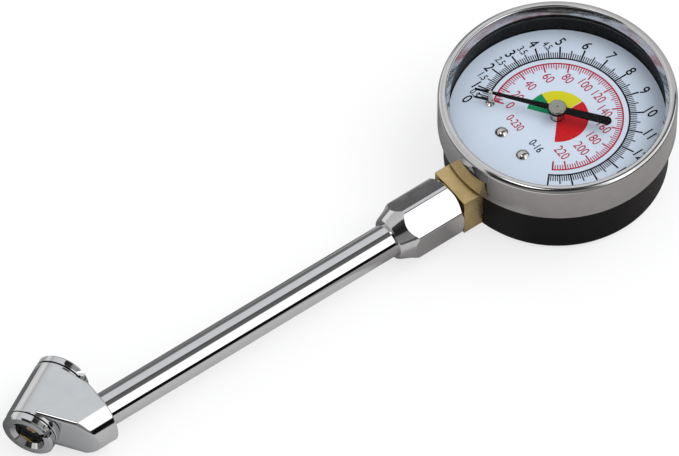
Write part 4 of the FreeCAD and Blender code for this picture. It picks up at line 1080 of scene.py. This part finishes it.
        # Painted darkness far off in front, seen only in reflections
        mirrored = bench.blend(far, painted_shade_and_light, self.far_tone)
        path = bench.node("ShaderNodeLightPath")
        seen = bench.blend(path.outputs["Is Glossy Ray"], self.mirrored_tone, mirrored)
        bench.feed(paint["Base Color"], seen)
        glow = bench.node("ShaderNodeEmission")
        mixed = bench.node("ShaderNodeMixShader")
        bench.feed(mixed.inputs["Fac"],
                   bench.math("MULTIPLY", path.outputs["Is Camera Ray"], self.floor_glow))
        bench.feed(mixed.inputs[1], bench.shader.outputs[0])
        bench.feed(mixed.inputs[2], glow.outputs[0])
        bench.feed(bench.tree.nodes["Material Output"].inputs["Surface"], mixed.outputs[0])
        wear(floor, bench.material)

    def lamp(self) -> None:
        """Hangs one large soft lamp above the gauge's right side."""
        data = bpy.data.lights.new("soft_lamp", "AREA")
        data.shape = "RECTANGLE"
        data.size, data.size_y = self.lamp_size
        data.energy = self.lamp_energy
        lamp = bpy.data.objects.new("soft_lamp", data)
        lamp.location = self.lamp_place
        lamp.visible_glossy = False
        aim = Vector(self.lamp_aim) - Vector(self.lamp_place)
        lamp.rotation_euler = aim.to_track_quat("-Z", "Y").to_euler()
        bpy.context.scene.collection.objects.link(lamp)

    def build(self) -> None:
        """Sets up the whole studio."""
        self.camera()
        self.surroundings()
        self.floor()
        self.lamp()
        bpy.context.scene.view_settings.view_transform = "Standard"


INNER_LOOKS = (
    (Metal("turned_brass", (0.62, 0.46, 0.2), (0.52, 0.38, 0.16), (0.18, 0.34), 3000),
     ("dial_posts", "hairspring_stud", "movement_base_plate", "movement_top_plate",
      "movement_pillars", "sector_gear", "connecting_link", "bourdon_tip")),
    (Metal("plain_steel", (0.5, 0.5, 0.51), (0.4, 0.4, 0.41), (0.2, 0.35), 3000),
     ("pinion_arbor", "pillar_screws", "movement_screws", "sector_arbor", "tail_pin", "tip_pin",
      "case_screws", "front_spring", "rear_spring")),
    (Metal("spring_bronze", (0.52, 0.33, 0.18), (0.42, 0.26, 0.14), (0.22, 0.35), 2500),
     ("hairspring", "bourdon_tube")),
    (Metal("bright_nickel", (0.66, 0.65, 0.61), (0.56, 0.55, 0.5), (0.1, 0.2), 2500),
     ("dial_screws", "stop_pin", "pointer_bush")),
    (Coat("black_rubber", (0.018, 0.018, 0.018), (0.03, 0.03, 0.03), (0.55, 0.75), 1800, 0.01),
     ("window_gasket", "blowout_plug", "front_seal", "rear_seal")),
    (Coat("dark_fibre", (0.03, 0.027, 0.026), (0.06, 0.05, 0.045), (0.7, 0.85), 1500, 0.02),
     ("stem_washer",)),
    (Coat("black_enamel", (0.004, 0.004, 0.004), (0.006, 0.005, 0.005), (0.32, 0.44), 900, 0.006,
          spread=90.0, gloss=0.09), ("gauge_case",)),
    (Coat("pointer_paint", (0.003, 0.003, 0.003), (0.005, 0.005, 0.005), (0.5, 0.6), 1500, 0.0004,
          gloss=0.1), ("pointer",)),
    (Coat("dial_paint", (0.58, 0.66, 0.76), (0.54, 0.62, 0.73), (0.5, 0.6), 3000, 0.001,
          spread=60.0, gloss=0.3), ("dial_plate",)),
    (Metal("turned_nickel", (0.4, 0.39, 0.35), (0.3, 0.29, 0.26), (0.16, 0.3), 4000, Lay.TURNED,
           depth=0.003), ("pointer_cap",)),
    (Metal("bright_brass", (0.56, 0.42, 0.2), (0.42, 0.31, 0.14), (0.22, 0.4), 2500, depth=0.002),
     ("front_depressor", "rear_depressor")),
    (Pane("window_glass_clear", 0.02, (0.08, 0.085, 0.09), (0.05, 0.055, 0.06), (0.0, 0.08)),
     ("dial_window",)))
INKS = tuple(
    Coat(name, colour, shade, (0.5, 0.6), 3000, 0.0005, gloss=gloss)
    for name, colour, shade, gloss in (
        ("ink_black", (0.004, 0.005, 0.008), (0.008, 0.01, 0.014), 0.15),
        ("ink_red", (0.36, 0.012, 0.03), (0.4, 0.02, 0.04), 0.2),
        ("ink_green", (0.0, 0.2, 0.075), (0.0, 0.26, 0.1), 0.2),
        ("ink_yellow", (0.62, 0.53, 0.01), (0.55, 0.56, 0.01), 0.2),
        ("ink_scarlet", (0.56, 0.006, 0.01), (0.46, 0.008, 0.014), 0.2)))
BEZEL_PLATE = Metal("bezel_plate", (0.6, 0.595, 0.59), (0.54, 0.535, 0.53), (0.05, 0.12), 2600,
                    depth=0.0035, waves=0.006, wave_scale=700)
BRIGHT_CHROME = Metal("bright_chrome", (0.6, 0.6, 0.605), (0.56, 0.56, 0.565), (0.02, 0.06), 3000,
                      depth=0.0002, waves=0.003)
MILLED_BRASS = Metal("milled_brass", (0.64, 0.47, 0.24), (0.5, 0.38, 0.17), (0.18, 0.34), 4500,
                     Lay.ACROSS, depth=0.004)
PLATED_CASTING = Metal("plated_casting", (0.6, 0.6, 0.605), (0.55, 0.555, 0.56), (0.05, 0.1), 2600,
                       depth=0.0002, waves=0.004, wave_scale=110)


def main() -> None:
    """Builds the studio and every piece, in order."""
    logging.basicConfig(level=logging.INFO, format="%(name)s: %(message)s")
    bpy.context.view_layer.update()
    Studio().build()
    for look, nodes in INNER_LOOKS:
        dress(look.make(), *nodes)
    DialPrint().build(*[ink.make() for ink in INKS])
    BezelRing().build(BEZEL_PLATE.make())
    chrome = BRIGHT_CHROME.make()
    stem = Stem()
    stem.build_tube(chrome)
    stem.build_hexagon(chrome)
    stem.build_stem(MILLED_BRASS.make())
    dress(chrome, "front_cap_ring", "rear_cap_ring")
    dress(PLATED_CASTING.make(), "chuck_body")


if __name__ == "__main__":
    main()
